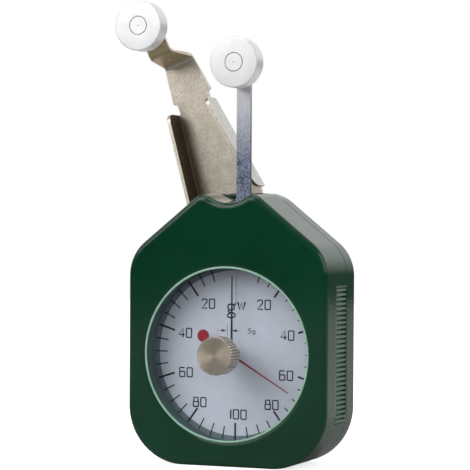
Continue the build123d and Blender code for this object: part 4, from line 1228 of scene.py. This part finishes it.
def direction_share(tree, axis, low, high, dim, bright):
    """Strength that rises from dim to bright as a direction's axis rises from low to high."""
    place = add_node(tree, "TexCoord").outputs["Generated"]
    along = add_node(tree, "SeparateXYZ", {0: place}).outputs[axis]
    inputs = {"Value": along, "From Min": low, "From Max": high, "To Min": dim, "To Max": bright}
    return add_node(tree, "MapRange", inputs).outputs["Result"]


def white_background(tree, strength):
    """A white background whose strength is a number or a socket."""
    return add_node(tree, "Background", {"Color": WHITE, "Strength": strength}).outputs[0]


def mix_shaders(tree, factor, first, second):
    """Two shaders mixed by a socket."""
    return add_node(tree, "MixShader", {0: factor, 1: first, 2: second}).outputs[0]


world = bpy.data.worlds.new("studio")
bpy.context.scene.world = world
world.use_nodes = True
tree = world.node_tree
tree.nodes.clear()
ray = add_node(tree, "LightPath").outputs
behind = direction_share(tree, "Y", 0.05, 0.65, 0.12, 0.9)
above = direction_share(tree, "Z", 0.02, 0.25, 0.08, 1.0)
reflected = white_background(tree, math_node(tree, "MULTIPLY", behind, above))
room = mix_shaders(tree, ray["Is Glossy Ray"], white_background(tree, GLOW), reflected)
seen_through = math_node(tree, "MAXIMUM", ray["Is Camera Ray"], ray["Is Transmission Ray"])
backdrop = mix_shaders(tree, seen_through, room, white_background(tree, 1.0))
add_node(tree, "OutputWorld", {"Surface": backdrop})
print("world nodes", len(tree.nodes))

# %% [markdown]
# ## The floor
# The gauge stands on a plain pale floor that keeps its shadow. An emission that only the camera
# sees lifts the floor towards the white behind it. Shiny surfaces see the floor darker, most of
# all in front of the gauge, in the same way as they see the room.

# %% Floor
FLOOR_SIZE = 2.4
FLOOR_TONE = (0.86, 0.86, 0.86, 1.0)
FLOOR_LIFT = 0.75
FRONT_DIM = 0.5
LEAST_DIM = 0.25

clear_selection()
bpy.ops.mesh.primitive_plane_add(size=FLOOR_SIZE)
floor = bpy.context.object
floor.name = "floor"
floor_finish, floor_shader = new_finish(
    "floor_white", Base_Color=FLOOR_TONE, Roughness=0.9, Specular_IOR_Level=0.1
)
tree = floor_finish.node_tree
ray = add_node(tree, "LightPath").outputs
in_front = both(floor_finish, dot_share(floor_finish, "Object", FORWARD, -0.1, 0.05), FRONT_DIM)
dim = both(floor_finish, ray["Is Glossy Ray"], math_node(tree, "ADD", in_front, LEAST_DIM))
dimmed = add_node(tree, "MixShader", {0: dim, 1: floor_shader.outputs[0]}).outputs[0]
lift = both(floor_finish, ray["Is Camera Ray"], FLOOR_LIFT)
lift = add_node(tree, "Emission", {"Strength": lift}).outputs[0]
total = add_node(tree, "AddShader", {0: dimmed, 1: lift}).outputs[0]
tree.links.new(total, tree.nodes["Material Output"].inputs["Surface"])
floor.data.materials.append(floor_finish)
bpy.context.scene.view_settings.view_transform = "Standard"
print("floor ready")

# %% Finish
def plain(box):
    """A box as nested lists of numbers."""
    return [[float(value) for value in corner] for corner in box]
